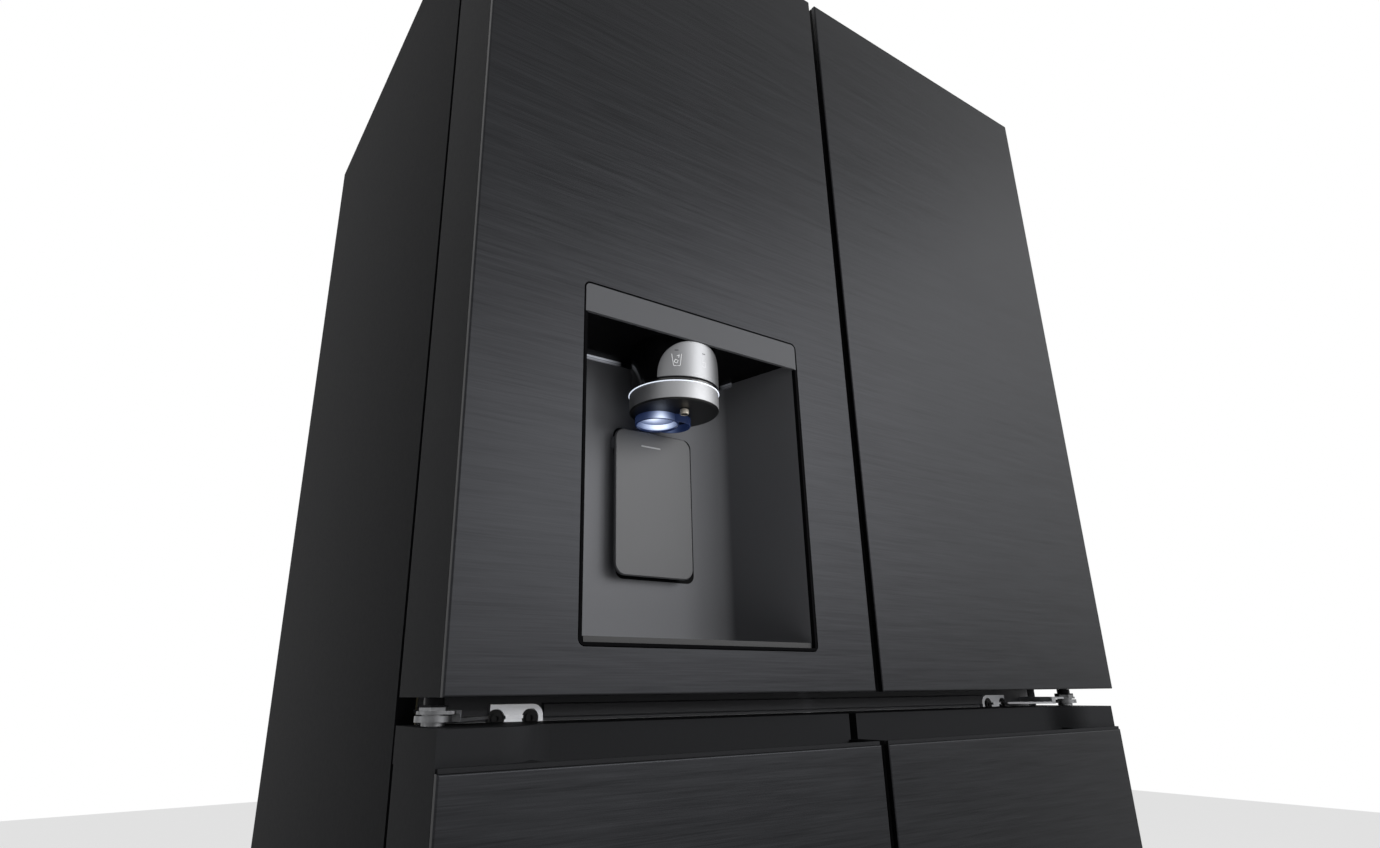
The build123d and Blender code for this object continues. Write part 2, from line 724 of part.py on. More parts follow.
def lower_core():
    """Door body whose top rises behind the grip; the rise sweeps forward at the hinge side."""
    lip_top = lower_top - lip_drop + lip_rise
    slab = door_slab(lower_bottom, lower_top - lip_drop)
    slab += block(-side + skin, free_x - skin, front + skin + 0.4, front + lip_wall,
                  lower_top - lip_drop, lip_top)
    slab += block(-side, free_x, front + lip_wall, door_back, lower_top - lip_drop, lip_top)
    y_wall = front + grip_wall
    edge = Polyline((-side + 50, front + 9), (-side, front + 6.5), (-side, door_back), (free_x, door_back),
                    (free_x, y_wall), (-side + grip_start, y_wall))
    sweep_line = Bezier((-side + grip_start, y_wall), (-side + 78, y_wall), (-side + 84, front + 10.5),
                        (-side + 50, front + 9))
    outline = Face(Wire(edge.edges() + sweep_line.edges()))
    slab += extrude(Pos(0, 0, lip_top - 1) * outline, lower_top - lip_top + 1, dir=(0, 0, 1))
    groove = block(-side + 84, free_x - grip_end_wall, front + lip_wall, y_wall,
                   lip_top - grip_depth, lip_top + 1)
    groove = fillet(groove.edges().filter_by(Axis.X).group_by(Axis.Z)[0], 8)
    slab -= groove - extrude(Pos(0, 0, lip_top - grip_depth - 1) * outline, grip_depth + 3, dir=(0, 0, 1))
    slab -= bush(lower_top - pin_length - 1, lower_top + 1)
    slab -= bush(lower_bottom - 1, lower_bottom + pin_length + 1)
    return slab


def gasket(z0, z1):
    return frame_ring(-side + gasket_hinge_side, free_x - gasket_edge, z0, z1, door_back,
                      cabinet_front - gasket_clear, gasket_width, 6)


panel_x0 = -side + gasket_hinge_side + gasket_width + 1.0
panel_x1 = free_x - gasket_edge - gasket_width - 1.0
dike_x0 = -cavity_x + liner + dike_clear
dike_x1 = free_x - 38.0


def door_panel(z0, z1, open_z0, open_z1, dike_out):
    """Inner panel of a door: a flat pan and the dike that stands into the opening."""
    plate = block(panel_x0, panel_x1, door_back, door_back + panel, z0, z1)
    plate = fillet(plate.edges().filter_by(Axis.Y), 8)
    dike = frame_ring(dike_x0, dike_out, open_z0 + dike_clear, open_z1 - dike_clear, door_back + panel,
                      door_back + panel + dike_depth, dike_width, 14)
    return plate + chamfer(dike.faces().sort_by(Axis.Y)[-1].outer_wire().edges(), 5)


trim_x0 = -side + trim_left
trim_x1 = trim_x0 + trim_width
trim_z0 = upper_bottom + trim_bottom
trim_z1 = trim_z0 + trim_height
dispenser_x = (trim_x0 + trim_x1) / 2
recess_half = trim_width / 2 - trim_rim
recess_floor = trim_z0 + trim_rim
bezel_z = trim_z1 - bezel_height
recess_ceiling = bezel_z + ceiling_over_bezel
recess_back = front + recess_depth
head_y = front + head_back
ring_z0 = upper_bottom + ring_bottom
ring_z1 = ring_z0 + ring_height
chute_z0 = ring_z0 - chute_drop
paddle_z1 = upper_bottom + paddle_top
pivot_y = recess_back - 4.5
pivot_z = paddle_z1 - 14.0
pivot_r = 2.0
lug_out = 41.5               # lugs, each side of the paddle's middle and hidden behind it


def trim_window(clear, y0, y1):
    cut = block(trim_x0 - clear, trim_x1 + clear, y0, y1, trim_z0 - clear, trim_z1 + clear)
    return fillet(cut.edges().filter_by(Axis.Y), 6 + clear)


def recess_plan(grow):
    """Plan of the dispenser recess: side walls draw in towards a back wall with round corners."""
    half_front = recess_half + grow
    half_back = recess_half - recess_taper + grow
    y1 = recess_back + grow
    plan = Polygon((dispenser_x - half_front, front), (dispenser_x + half_front, front),
                   (dispenser_x + half_back, y1), (dispenser_x - half_back, y1), align=None)
    return fillet(plan.vertices().group_by(Axis.Y)[-1], recess_corner + grow)


def dispenser_housing():
    flange_plate = trim_window(0, front, front + 3.5)
    flange_plate = fillet(flange_plate.faces().sort_by(Axis.Y)[0].edges(), 0.6)
    tub = extrude(Pos(0, 0, trim_z0 + 0.5) * recess_plan(tub_wall), trim_height - 1)
    tub &= trim_window(0, front, back)
    hollow = extrude(Pos(0, 0, recess_floor) * recess_plan(0), bezel_z - recess_floor)
    upper = extrude(Pos(0, 0, bezel_z - 1) * recess_plan(0), ceiling_over_bezel + 1)
    upper -= block(trim_x0, trim_x1, front - 1, front + 3.5, 0, height)
    body = flange_plate + tub - hollow - upper
    body -= block(trim_x0 + 12, trim_x1 - 12, front + 12, recess_back, recess_ceiling + 3, trim_z1 - 4)
    for sgn in (-1, 1):
        lug_x = dispenser_x + sgn * lug_out
        lug = block(lug_x - 3, lug_x + 3, pivot_y - 4, recess_back + 1, pivot_z - 6, pivot_z + 6)
        lug = fillet(lug.edges().filter_by(Axis.X).group_by(Axis.Y)[0], 3.9)
        body += lug
        inner_x = lug_x - sgn * 4
        body -= rod_x(lug_x - 2, lug_x + 2, pivot_y, pivot_z, pivot_r + pin_clear)
        body -= rod_x(min(lug_x, inner_x), max(lug_x, inner_x), pivot_y, pivot_z, pivot_r + pin_clear)
    return body


def dispenser_head():
    column = rod(dispenser_x, head_y, ring_z1, recess_ceiling, head_r)
    core = rod(dispenser_x, head_y, ring_z0, ring_z1, ring_inner - 0.1)
    return column + core


ice_x = dispenser_x - 8.2    # the chute's larger tube, for ice
ice_y = head_y + 19.7
ice_r = 22.9
side_x = dispenser_x + 8.2   # the smaller tube running into it
side_y = head_y + 15.9
side_r = 19.8
chute_wall = 1.5
nozzle_x = dispenser_x
nozzle_y = head_y - 17.9
nozzle_r = 4.0
plate_low_z = ring_z1 + 5.0
plate_high_z = bezel_z + 0.6


def dispenser_ring():
    """The ring round the spout and the arched face plate on the column over it."""
    ring = rod(dispenser_x, head_y, ring_z0, ring_z1, ring_r)
    ring -= rod(dispenser_x, head_y, 0, height, ring_inner)
    ring = chamfer(ring.edges().filter_by(GeomType.CIRCLE).sort_by(SortBy.RADIUS)[-2:], ring_wall / 2)
    shell = rod(dispenser_x, head_y, plate_low_z, plate_high_z, plate_r)
    shell -= rod(dispenser_x, head_y, 0, height, head_r)
    half = plate_r * sin(radians(plate_half_angle))
    outline = Ellipse(half, plate_high_z - plate_low_z)
    outline = Pos(dispenser_x, head_y, plate_low_z) * Rot(90, 0, 0) * outline
    arch = extrude(outline, plate_r + 5)
    return [ring, shell & arch]


def ice_chute():
    """Two tubes side by side under the head; the larger one's wall divides them."""
    large = Pos(ice_x, ice_y) * Circle(ice_r)
    small = Pos(side_x, side_y) * Circle(side_r)
    large_hole = Pos(ice_x, ice_y) * Circle(ice_r - chute_wall)
    small_hole = Pos(side_x, side_y) * Circle(side_r - chute_wall) - large
    outer = extrude(Pos(0, 0, chute_z0) * (large + small), chute_drop)
    inner = extrude(Pos(0, 0, chute_z0) * (large_hole + small_hole), chute_drop - 1)
    return outer - inner


def water_nozzle():
    tip = rod(nozzle_x, nozzle_y, chute_z0, ring_z0, nozzle_r)
    tip = chamfer(tip.edges().filter_by(GeomType.CIRCLE).group_by(Axis.Z)[0], 1)
    return tip - rod(nozzle_x, nozzle_y, chute_z0, ring_z0 - 2, nozzle_r - 1.8)


def dispenser_paddle():
    y0 = front + paddle_back
    plate = block(dispenser_x - paddle_width / 2, dispenser_x + paddle_width / 2, y0, y0 + paddle_wall,
                  paddle_z1 - paddle_height, paddle_z1)
    plate = fillet(plate.edges().filter_by(Axis.Y), 12)
    plate = chamfer(plate.faces().sort_by(Axis.Y)[0].edges(), 1)
    neck_half = lug_out - 5.5
    neck = block(dispenser_x - neck_half, dispenser_x + neck_half, y0 + 1, pivot_y + pivot_r,
                 pivot_z - pivot_r, pivot_z + pivot_r)
    pin = rod_x(dispenser_x - lug_out - 1.8, dispenser_x + lug_out + 1.8, pivot_y, pivot_z, pivot_r)
    return plate + neck + pin


def drip_tray():
    plan = extrude(Pos(0, 0, recess_floor) * recess_plan(-2), 5)
    plan -= block(trim_x0, trim_x1, front - 1, front + 3, 0, height)
    slots = []
    for i in range(-7, 8):
        x = dispenser_x + 11 * i
        slots.append(block(x - 2, x + 2, front + 25, front + 80, recess_floor + 2, recess_floor + 6))
    return plan - Compound(children=slots)


bulge_half = trim_width / 2 + 14.0
bulge_back = front + recess_depth + 49.5


panel_edge = gasket_edge + gasket_width + 6


def upper_left_panel():
    base = door_panel(upper_bottom + panel_edge, upper_top - panel_edge,
                      fridge_floor + liner, cavity_top - liner, dike_x1)
    bulge = block(dispenser_x - bulge_half, dispenser_x + bulge_half, door_back, bulge_back,
                  trim_z0 + 4, trim_z1 + 14)
    bulge = fillet(bulge.faces().sort_by(Axis.Y)[-1].edges(), 12)
    return base + bulge


def upper_right_panel():
    return door_panel(upper_bottom + panel_edge, upper_top - panel_edge,
                      fridge_floor + liner, cavity_top - liner, dike_x1)


def lower_panel():
    return door_panel(lower_bottom + panel_edge, lower_top - panel_edge,
                      freezer_floor + liner, freezer_ceiling - liner, dike_x1)


ice_z0 = trim_z1 + 53.2
ice_z1 = cavity_top - liner - dike_clear - dike_width - 9.5
ice_x0 = dike_x0 + dike_width + 1.0
ice_x1 = dike_x1 - dike_width - 1.0
ice_y0 = door_back + panel


def ice_room():
    """Insulated box on the door for the ice bucket, open to the compartment."""
    shell = block(ice_x0, ice_x1, ice_y0, bin_rear, ice_z0, ice_z1)
    shell = fillet(shell.edges().filter_by(Axis.Y), 14)
    hollow = block(ice_x0 + 8, ice_x1 - 8, ice_y0 + 4, bin_rear + 1, ice_z0 + 8, ice_z1 - 8)
    hollow = fillet(hollow.edges().filter_by(Axis.Y), 4)
    return shell - hollow


bucket_x0 = ice_x0 + 12.0
bucket_x1 = ice_x1 - 12.0
bucket_y0 = ice_y0 + 5.0
bucket_y1 = bin_rear - 4.0
bucket_z0 = ice_z0 + 8.3
bucket_z1 = (ice_z0 + ice_z1) / 2
auger_z = bucket_z0 + 40.0
auger_y = (bucket_y0 + bucket_y1) / 2
auger_r = 28.0


def ice_bin():
    body = tray(bucket_x0, bucket_x1, bucket_y0, bucket_y1, bucket_z0, bucket_z1, 10, 0)
    for x in (bucket_x0 + wall, bucket_x1 - wall - 6):
        body += block(x, x + 6, auger_y - 8, auger_y + 8, bucket_z0 + wall - 0.5, auger_z + 10)
    body -= rod_x(bucket_x0 + wall + 1, bucket_x1 - wall - 1, auger_y, auger_z, 4 + pin_clear)
    return body


def ice_auger():
    """Shaft with slanted paddles that walk the ice to the chute."""
    out = rod_x(bucket_x0 + wall + 1.4, bucket_x1 - wall - 1.4, auger_y, auger_z, 4)
    count = 9
    x0 = bucket_x0 + 26
    step = (bucket_x1 - bucket_x0 - 52) / (count - 1)
    for i in range(count):
        blade = Pos(0, auger_r / 2, 0) * Rot(0, 25, 0) * Box(3, auger_r, 14)
        out += Pos(x0 + i * step, auger_y, auger_z) * Rot(80 * i, 0, 0) * blade
    return out


mullion_x = -20.0
mullion_y = cabinet_front + 8.0
mullion_r = 8.0
mullion_tip = -2.0


def flip_mullion():
    z0 = fridge_floor + liner + 6
    z1 = cavity_top - liner - 6
    bar = block(mullion_x, mullion_tip, mullion_y - mullion_r, mullion_y + mullion_r, z0, z1)
    bar = fillet(bar.edges().filter_by(Axis.Z).group_by(Axis.X)[-1], 2)
    pins = rod(mullion_x, mullion_y, z0, z1, mullion_r)
    return bar + pins


def upper_right_bins():
    bins = []
    for z in bin_levels:
        x0 = dike_x0 + dike_width + 0.5
        x1 = dike_x1 - dike_width - 0.5
        body = tray(x0, x1, door_back + panel, bin_rear, z, z + bin_height, 12, 0)
        low = block(x0 + 40, x1 - 40, bin_rear - 6, bin_rear + 1, z + bin_height - 25, z + bin_height + 1)
        body -= fillet(low.edges().filter_by(Axis.Y).group_by(Axis.Z)[0], 12)
        bins.append(right_of(body))
    return bins


# ---------------------------------------------------------------- feet and rollers

def levelling_foot():
    pad = rod(-foot_x, foot_y, 0, 8, foot_r)
    pad = chamfer(pad.edges().filter_by(GeomType.CIRCLE), 1.5)
    hexagon = extrude(Pos(-foot_x, foot_y, 8) * RegularPolygon(10, 6), 8)
    return pad + hexagon + rod(-foot_x, foot_y, 8, foam_bottom - 6, 6)


def rear_roller():
    wheel = rod_x(-roller_x - roller_width / 2, -roller_x + roller_width / 2, roller_y, roller_r, roller_r)
    wheel = chamfer(wheel.edges().filter_by(GeomType.CIRCLE), 2)
    axle_half = roller_width / 2 + 5
    return wheel + rod_x(-roller_x - axle_half, -roller_x + axle_half, roller_y, roller_r, 4)


def main():
    os.makedirs("parts", exist_ok=True)
    save("outer_case", outer_case())
    save("rear_panel", rear_panel())
    save("insulation", insulation())
    save("fridge_liner", fridge_liner())
    save("freezer_liners", both(freezer_liner()))
    save("centre_beam", centre_beam())
    save("base_frame", base_frame())
    save("kick_plate", kick_plate())
    save("machine_cover", machine_cover())
    save("compressor", compressor())
    save("condenser", condenser())
    save("condenser_fan", condenser_fan())
    save("evaporator", evaporator())
    save("evaporator_fan", evaporator_fan())
    save("air_ducts", air_ducts())
    plates, frames = shelves()
    save("shelf_glass", plates)
    save("shelf_trims", frames)
    save("crisper_cover", crisper_cover())
    save("drawer_rails", drawer_rails())
    save("crisper_left", crisper())
    save("crisper_right", right_of(crisper()))
    for name, z0, z1, y1 in freezer_rows:
        drawer = freezer_drawer(z0, z1, y1)
        save("freezer_drawer_left_" + name, drawer)
        save("freezer_drawer_right_" + name, right_of(drawer))
    save("hinge_brackets", both(middle_hinge()) + both(top_hinge()) + both(bottom_hinge()))
    save("hinge_covers", both(hinge_cover()))
    save("hinge_screws", hinge_screws())

    window = trim_window(trim_seam, front - 1, front + 20)
    upper_skin = door_skin(upper_bottom, upper_top)
    core = upper_core()
    opening = trim_window(trim_seam, front - 1, door_back + 1)
    seal = gasket(upper_bottom + gasket_edge, upper_top - gasket_edge)
    save("upper_left_skin", upper_skin - window)
    save("upper_left_core", core - opening)
    save("upper_left_liner", upper_left_panel())
    save("upper_left_gasket", seal)
    save("upper_right_skin", right_of(upper_skin))
    save("upper_right_core", right_of(core))
    save("upper_right_liner", right_of(upper_right_panel()))
    save("upper_right_gasket", right_of(seal))
    save("upper_right_bins", upper_right_bins())

    lower_skin = door_skin(lower_bottom, lower_top - lip_drop)
    core = lower_core()
    inner = lower_panel()
    seal = gasket(lower_bottom + gasket_edge, lower_top - gasket_edge)
    for name, place in (("lower_left", lambda s: s), ("lower_right", right_of)):
        save(name + "_skin", place(lower_skin))
        save(name + "_core", place(core))
        save(name + "_liner", place(inner))
        save(name + "_gasket", place(seal))

    save("dispenser_housing", dispenser_housing())
    save("dispenser_head", dispenser_head())
    save("dispenser_ring", dispenser_ring())
    save("ice_chute", ice_chute())
    save("water_nozzle", water_nozzle())
    save("dispenser_paddle", dispenser_paddle())
    save("drip_tray", drip_tray())
    save("ice_room", ice_room())
    save("ice_bin", ice_bin())
    save("ice_auger", ice_auger())
    save("flip_mullion", flip_mullion())

    foot = levelling_foot()
    roller = rear_roller()
    save("levelling_foot_left", foot)
    save("levelling_foot_right", right_of(foot))
    save("rear_roller_left", roller)
    save("rear_roller_right", right_of(roller))


if __name__ == "__main__":
    main()
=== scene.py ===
"""Finishes and fine pieces of a french door refrigerator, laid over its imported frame.

Metres. +X is to the right seen from the front, +Y to the back, +Z up.
"""
import math

import bmesh
import bpy
from mathutils import Euler, Matrix, Vector


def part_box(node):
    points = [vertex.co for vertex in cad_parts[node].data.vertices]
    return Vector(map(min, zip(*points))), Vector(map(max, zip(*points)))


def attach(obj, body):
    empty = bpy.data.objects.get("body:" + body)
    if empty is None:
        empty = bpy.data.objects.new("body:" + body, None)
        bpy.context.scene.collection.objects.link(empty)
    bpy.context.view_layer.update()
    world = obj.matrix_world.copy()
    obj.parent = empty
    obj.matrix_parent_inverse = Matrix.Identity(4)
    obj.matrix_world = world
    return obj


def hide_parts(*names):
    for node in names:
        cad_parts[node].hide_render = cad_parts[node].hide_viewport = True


bl_info = {
    "name": "French door refrigerator",
    "version": (1, 0, 0),
    "blender": (4, 5, 0),
    "location": "View3D > Sidebar > Refrigerator",
    "description": "Gives the refrigerator its finishes, seals, lights and fine pieces",
    "category": "Object",
}

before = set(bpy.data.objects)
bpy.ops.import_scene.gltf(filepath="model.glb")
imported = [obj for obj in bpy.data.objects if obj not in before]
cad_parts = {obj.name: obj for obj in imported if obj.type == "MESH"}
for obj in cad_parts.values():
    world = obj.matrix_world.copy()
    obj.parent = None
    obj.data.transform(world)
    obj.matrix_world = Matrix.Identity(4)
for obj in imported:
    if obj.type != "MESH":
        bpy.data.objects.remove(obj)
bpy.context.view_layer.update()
MM = 0.001
RING_STEPS = 160
NEAR_BLACK = (0.004, 0.004, 0.0045)
SOFT_BLACK = (0.006, 0.006, 0.0065)
DOOR = "upper_left_door"

ring_low, ring_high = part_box("dispenser_ring")
head_low, head_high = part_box("dispenser_head")
chute_low, chute_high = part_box("ice_chute")
nozzle_low, nozzle_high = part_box("water_nozzle")
housing_low, housing_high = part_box("dispenser_housing")
paddle_low, paddle_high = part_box("dispenser_paddle")
tray_low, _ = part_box("drip_tray")
panel_low, panel_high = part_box("rear_panel")
FRONT = housing_low.y
AXIS_X = (head_low.x + head_high.x) / 2
AXIS_Y = (head_low.y + head_high.y) / 2


# ------------------------------------------------------------------ settings

def length(name, description, default):
    return bpy.props.FloatProperty(
        name=name, description=description, default=default, unit="LENGTH", precision=5)


def strength(name, description, default, **more):
    return bpy.props.FloatProperty(name=name, description=description, default=default, min=0, **more)


def power(name, description, default):
    return strength(name, description, default, unit="POWER")


def colour(name, description, default):
    return bpy.props.FloatVectorProperty(
        name=name, description=description, default=default, subtype="COLOR", size=3, min=0, max=1)


class FridgeSettings(bpy.types.PropertyGroup):
    """Sizes, colours and light that a user may change before the pieces are made."""

    door_colour: colour("Door colour", "Colour of the brushed black steel", (0.0195, 0.0200, 0.0217))
    case_colour: colour("Case colour", "Colour of the painted cabinet", (0.012, 0.0123, 0.0135))
    recess_colour: colour("Recess colour", "Colour of the dispenser recess", (0.185, 0.188, 0.199))
    liner_colour: colour("Liner colour", "Colour of the inner liners", (0.68, 0.69, 0.70))
    light_colour: colour("Light colour", "Colour of the dispenser's light", (0.78, 0.86, 1.0))
    floor_colour: colour("Floor colour", "Colour of the floor", (0.82, 0.82, 0.82))
    grain_width: length("Grain width", "Distance between strokes of the brushed grain", 0.0011)
    grain_length: length("Grain length", "Length of a stroke of the brushed grain", 0.055)
    ring_band: length("Ring band", "Wall of the silver ring", 0.0012)
    ring_chamfer: length("Ring chamfer", "Height of the black edge under the silver ring", 0.0016)
    ring_edge: length("Ring edge", "Rounding of the silver ring's edges", 0.0003)
    light_line: length("Light line", "Height of the lit line over the ring", 0.0006)
    icon_stroke: length("Icon stroke", "Width of the strokes of the icons", 0.00055)
    strip_height: length("Strip height", "Height of the bright strip at the back of the recess", 0.0052)
    seal_pleat: length("Seal pleat", "Depth of the pleats of a door seal", 0.0006)
    fin_pitch: length("Fin pitch", "Distance between the fins of a heat exchanger", 0.0032)
    fin_thickness: length("Fin thickness", "Thickness of a fin", 0.0003)
    screw_pitch: length("Screw pitch", "Distance between the screws of the rear panel", 0.18)
    screw_radius: length("Screw radius", "Radius of a screw head of the rear panel", 0.0042)
    light_strength: strength("Dispenser light", "Strength of the light in the spout", 1.25)
    side_power: power("Side light", "Power of the large soft light on the right", 32.0)
    key_power: power("Key light", "Shared by the soft lights in front and above", 37.0)
    fill_power: power("Fill light", "Power of the weak light in front", 10.0)
    rear_power: power("Rear light", "Shared by the lights behind and on the left", 62.0)


# ------------------------------------------------------------------ node building

class Num:
    """A number that varies over a surface or a mesh. Arithmetic on it adds Math nodes."""

    def __init__(self, nodes, socket):
        self.nodes = nodes
        self.socket = socket

    def math(self, operation, *others, clamp=False):
        sockets = dict(enumerate((self, *others)))
        made = self.nodes.out("ShaderNodeMath", sockets, operation=operation, use_clamp=clamp)
        return Num(self.nodes, made)

    def __add__(self, other):
        return self.math("ADD", other)

    def __sub__(self, other):
        return self.math("SUBTRACT", other)

    def __rsub__(self, other):
        return self * -1 + other

    def __mul__(self, other):
        return self.math("MULTIPLY", other)

    def __pow__(self, other):
        return self.math("POWER", other)

    __radd__ = __add__
    __rmul__ = __mul__

    def clamped(self):
        return self.math("ADD", 0, clamp=True)

    def over(self, edge, blur):
        """0 below the edge and 1 above it, with a blur between."""
        return ((self - edge) * (1 / blur) + 0.5).clamped()


class Nodes:
    """A node tree that is filled through one method."""

    def __init__(self, tree):
        self.tree = tree

    def node(self, kind, sockets=None, **settings):
        made = self.tree.nodes.new(kind)
        for key, value in settings.items():
            setattr(made, key, value)
        for key, value in (sockets or {}).items():
            self.feed(made.inputs[key], value)
        return made

    def out(self, kind, sockets=None, **settings):
        """The first output of a new node."""
        return self.node(kind, sockets, **settings).outputs[0]

    def feed(self, socket, value):
        if isinstance(value, Num):
            value = value.socket
        if isinstance(value, bpy.types.NodeSocket):
            self.tree.links.new(value, socket)
        else:
            socket.default_value = value


class Finish(Nodes):
    """A material: one Principled shader and what feeds it."""

    def __init__(self, name, **constants):
        self.material = bpy.data.materials.new(name)
        self.material.use_nodes = True
        super().__init__(self.material.node_tree)
        self.tree.nodes.clear()
        sockets = {}
        for key, value in constants.items():
            sockets[key.replace("_", " ").title().replace("Ior", "IOR")] = value
        self.shader = self.node("ShaderNodeBsdfPrincipled", sockets)
        self.output = self.node("ShaderNodeOutputMaterial", {"Surface": self.shader.outputs[0]})
        self.place = self.node("ShaderNodeTexCoord").outputs["Object"]

    def axis(self, letter):
        return Num(self, self.node("ShaderNodeSeparateXYZ", {0: self.place}).outputs[letter])

    def spread(self, scale):
        """The piece's own coordinates, scaled by one number or by one number for each axis."""
        scale = (scale,) * 3 if isinstance(scale, float) else scale
        sockets = {"Vector": self.place, "Scale": scale}
        return self.out("ShaderNodeMapping", sockets)

    def noise(self, scale, detail=2.0, roughness=0.5):
        """Noise with about as many cells to the metre as scale says, on each axis."""
        sockets = {"Vector": self.spread(scale), "Scale": 1.0, "Detail": detail, "Roughness": roughness}
        return Num(self, self.node("ShaderNodeTexNoise", sockets).outputs["Fac"])

    def cells(self, scale, output="Distance"):
        made = self.node("ShaderNodeTexVoronoi", {"Vector": self.spread(scale), "Scale": 1.0})
        return Num(self, made.outputs[output])

    def attribute(self, name):
        return Num(self, self.node("ShaderNodeAttribute", attribute_name=name).outputs["Fac"])

    def mix(self, factor, low, high):
        """A colour between two colours."""
        sockets = {0: factor, 6: opaque(low), 7: opaque(high)}
        return self.node("ShaderNodeMix", sockets, data_type="RGBA").outputs[2]

    def varies(self, socket, value):
        self.feed(self.shader.inputs[socket], value)

    def shades(self, factor, shade, low, high):
        """The base colour runs from low to high times one shade."""
        self.varies("Base Color", self.mix(factor, scaled(shade, low), scaled(shade, high)))

    def bump(self, height, distance):
        relief = self.node("ShaderNodeBump", {"Strength": 1.0, "Distance": distance, "Height": height})
        self.varies("Normal", relief.outputs["Normal"])


def opaque(shade):
    return shade if isinstance(shade, bpy.types.NodeSocket) else (*shade[:3], 1.0)


def scaled(shade, factor):
    return tuple(min(1.0, part * factor) for part in shade)


# ------------------------------------------------------------------ finishes

def brushed(name, shade, roughness, along="X", width=0.0022, stroke=0.12, contrast=0.3, relief=0.00002,
            **more):
    """Metal brushed in one direction, with long faint strokes."""
    made = Finish(name, metallic=1.0, **more)
    fine = [1 / width] * 3
    broad = [0.22 / width] * 3
    axis = "XYZ".index(along)
    fine[axis] = 1 / stroke
    broad[axis] = 0.4 / stroke
    strokes = made.noise(fine, 4.0, 0.65)
    bands = made.noise(broad, 2.0)
    cloud = made.noise(3.0, 2.0)
    tone = strokes * 0.62 + bands * 0.38
    made.shades(tone, shade, 1 - contrast, 1 + contrast)
    made.varies("Roughness", (tone - 0.5) * 0.22 + (cloud - 0.5) * 0.08 + roughness)
    made.bump(strokes, relief)
    return made


def moulded(name, shade, roughness, grain=900.0, relief=0.00003, specular=0.3, contrast=0.14):
    """Moulded plastic with a fine spark-eroded grain."""
    made = Finish(name, specular_ior_level=specular)
    skin = made.noise(grain, 3.0, 0.6)
    cloud = made.noise(7.0, 2.0)
    tone = skin * 0.6 + cloud * 0.4
    made.shades(tone, shade, 1 - contrast, 1 + contrast)
    made.varies("Roughness", (skin - 0.5) * 0.12 + (cloud - 0.5) * 0.06 + roughness)
    made.bump(skin, relief)
    return made


def painted(name, shade, roughness):
    """Paint on sheet metal, with the slight waves of sprayed paint."""
    made = Finish(name, specular_ior_level=0.010)
    waves = made.noise(260.0, 2.0)
    dust = made.noise(1500.0, 2.0)
    made.shades(dust, shade, 0.88, 1.12)
    made.varies("Roughness", (waves - 0.5) * 0.1 + roughness)
    made.bump(waves * 0.8 + dust * 0.2, 0.00004)
    return made


def galvanised(name, shade):
    """Zinc-coated sheet with its spangle."""
    made = Finish(name, metallic=0.9)
    spangle = made.cells(70.0, output="Color")
    veil = made.noise(30.0, 3.0)
    made.shades(spangle, shade, 0.72, 1.15)
    made.varies("Roughness", spangle * 0.2 + veil * 0.12 + 0.44)
    made.bump(veil, 0.00004)
    return made


def foamed(name, shade):
    """Closed-cell foam: pale, with small open bubbles at the cut."""
    made = Finish(name, specular_ior_level=0.2)
    bubbles = made.cells(420.0)
    patches = made.noise(16.0, 3.0)
    made.shades(patches, shade, 0.8, 1.1)
    made.varies("Roughness", patches * 0.1 + 0.82)
    made.bump(bubbles, 0.0006)
    return made


def clear(name, shade, alpha, roughness):
    """Clear moulding or sheet, with faint flow marks."""
    made = Finish(name, ior=1.46, specular_ior_level=0.5)
    flow = made.noise((9.0, 9.0, 40.0), 3.0)
    made.shades(flow, shade, 0.94, 1.04)
    made.varies("Roughness", flow * 0.05 + roughness)
    made.varies("Alpha", flow * 0.06 + alpha)
    return made


def glossy(name, shade):
    """Piano gloss, with the faint orange peel of a polished moulding."""
    made = Finish(name, specular_ior_level=0.4, coat_weight=0.3, coat_roughness=0.06)
    peel = made.noise(180.0, 2.0)
    haze = made.noise(24.0, 3.0)
    made.shades(haze, shade, 0.85, 1.15)
    made.varies("Roughness", haze * 0.1 + 0.12)
    made.bump(peel, 0.00001)
    return made


def recess_finish(settings):
    """Grained grey moulding, black on the sill and over the strip. The rim's black is painted shade, and the
    bezel is a darker copy of the walls' grey: painted light that makes the shaded walls read as bright as the
    lit bezel.
    """
    made = Finish("recess_moulding", specular_ior_level=0.03)
    skin = made.noise(1100.0, 3.0, 0.6)
    cloud = made.noise(5.0, 2.0)
    shade = settings.recess_colour
    grey = made.mix(skin * 0.5 + cloud * 0.5, scaled(shade, 0.88), scaled(shade, 1.12))
    flange_back = FRONT + 3.8 * MM
    sill_top = tray_low.z + 1.2 * MM
    behind = made.axis("Y").over(flange_back, 0.2 * MM)
    sill = 1 - made.axis("Z").over(sill_top, 0.4 * MM)
    chamber = behind * made.axis("Z").over(STRIP_Z, 0.4 * MM)
    groove = edge_distance(made, 6.0 * MM).over(-1.2 * MM, 0.3 * MM)
    bezel = made.axis("Z").over(BEZEL_Z - 0.5 * MM, 0.2 * MM) * (1 - groove)
    # Painted shade and light: the rim is black where it only lies in shade, and the bezel is 0.67 times the
    # walls' grey.
    front_painted_shade = made.mix(bezel, NEAR_BLACK, scaled(shade, 0.67))
    body = made.mix(behind, front_painted_shade, made.mix(sill, grey, NEAR_BLACK))
    made.varies("Base Color", made.mix(chamber, body, NEAR_BLACK))
    rim = (1 - behind) * (1 - bezel)
    made.varies("Roughness", (skin - 0.5) * 0.12 + 0.46 - chamber * 0.26 + rim * 0.5)
    made.bump(skin * (1 - chamber), 0.00003)
    return made


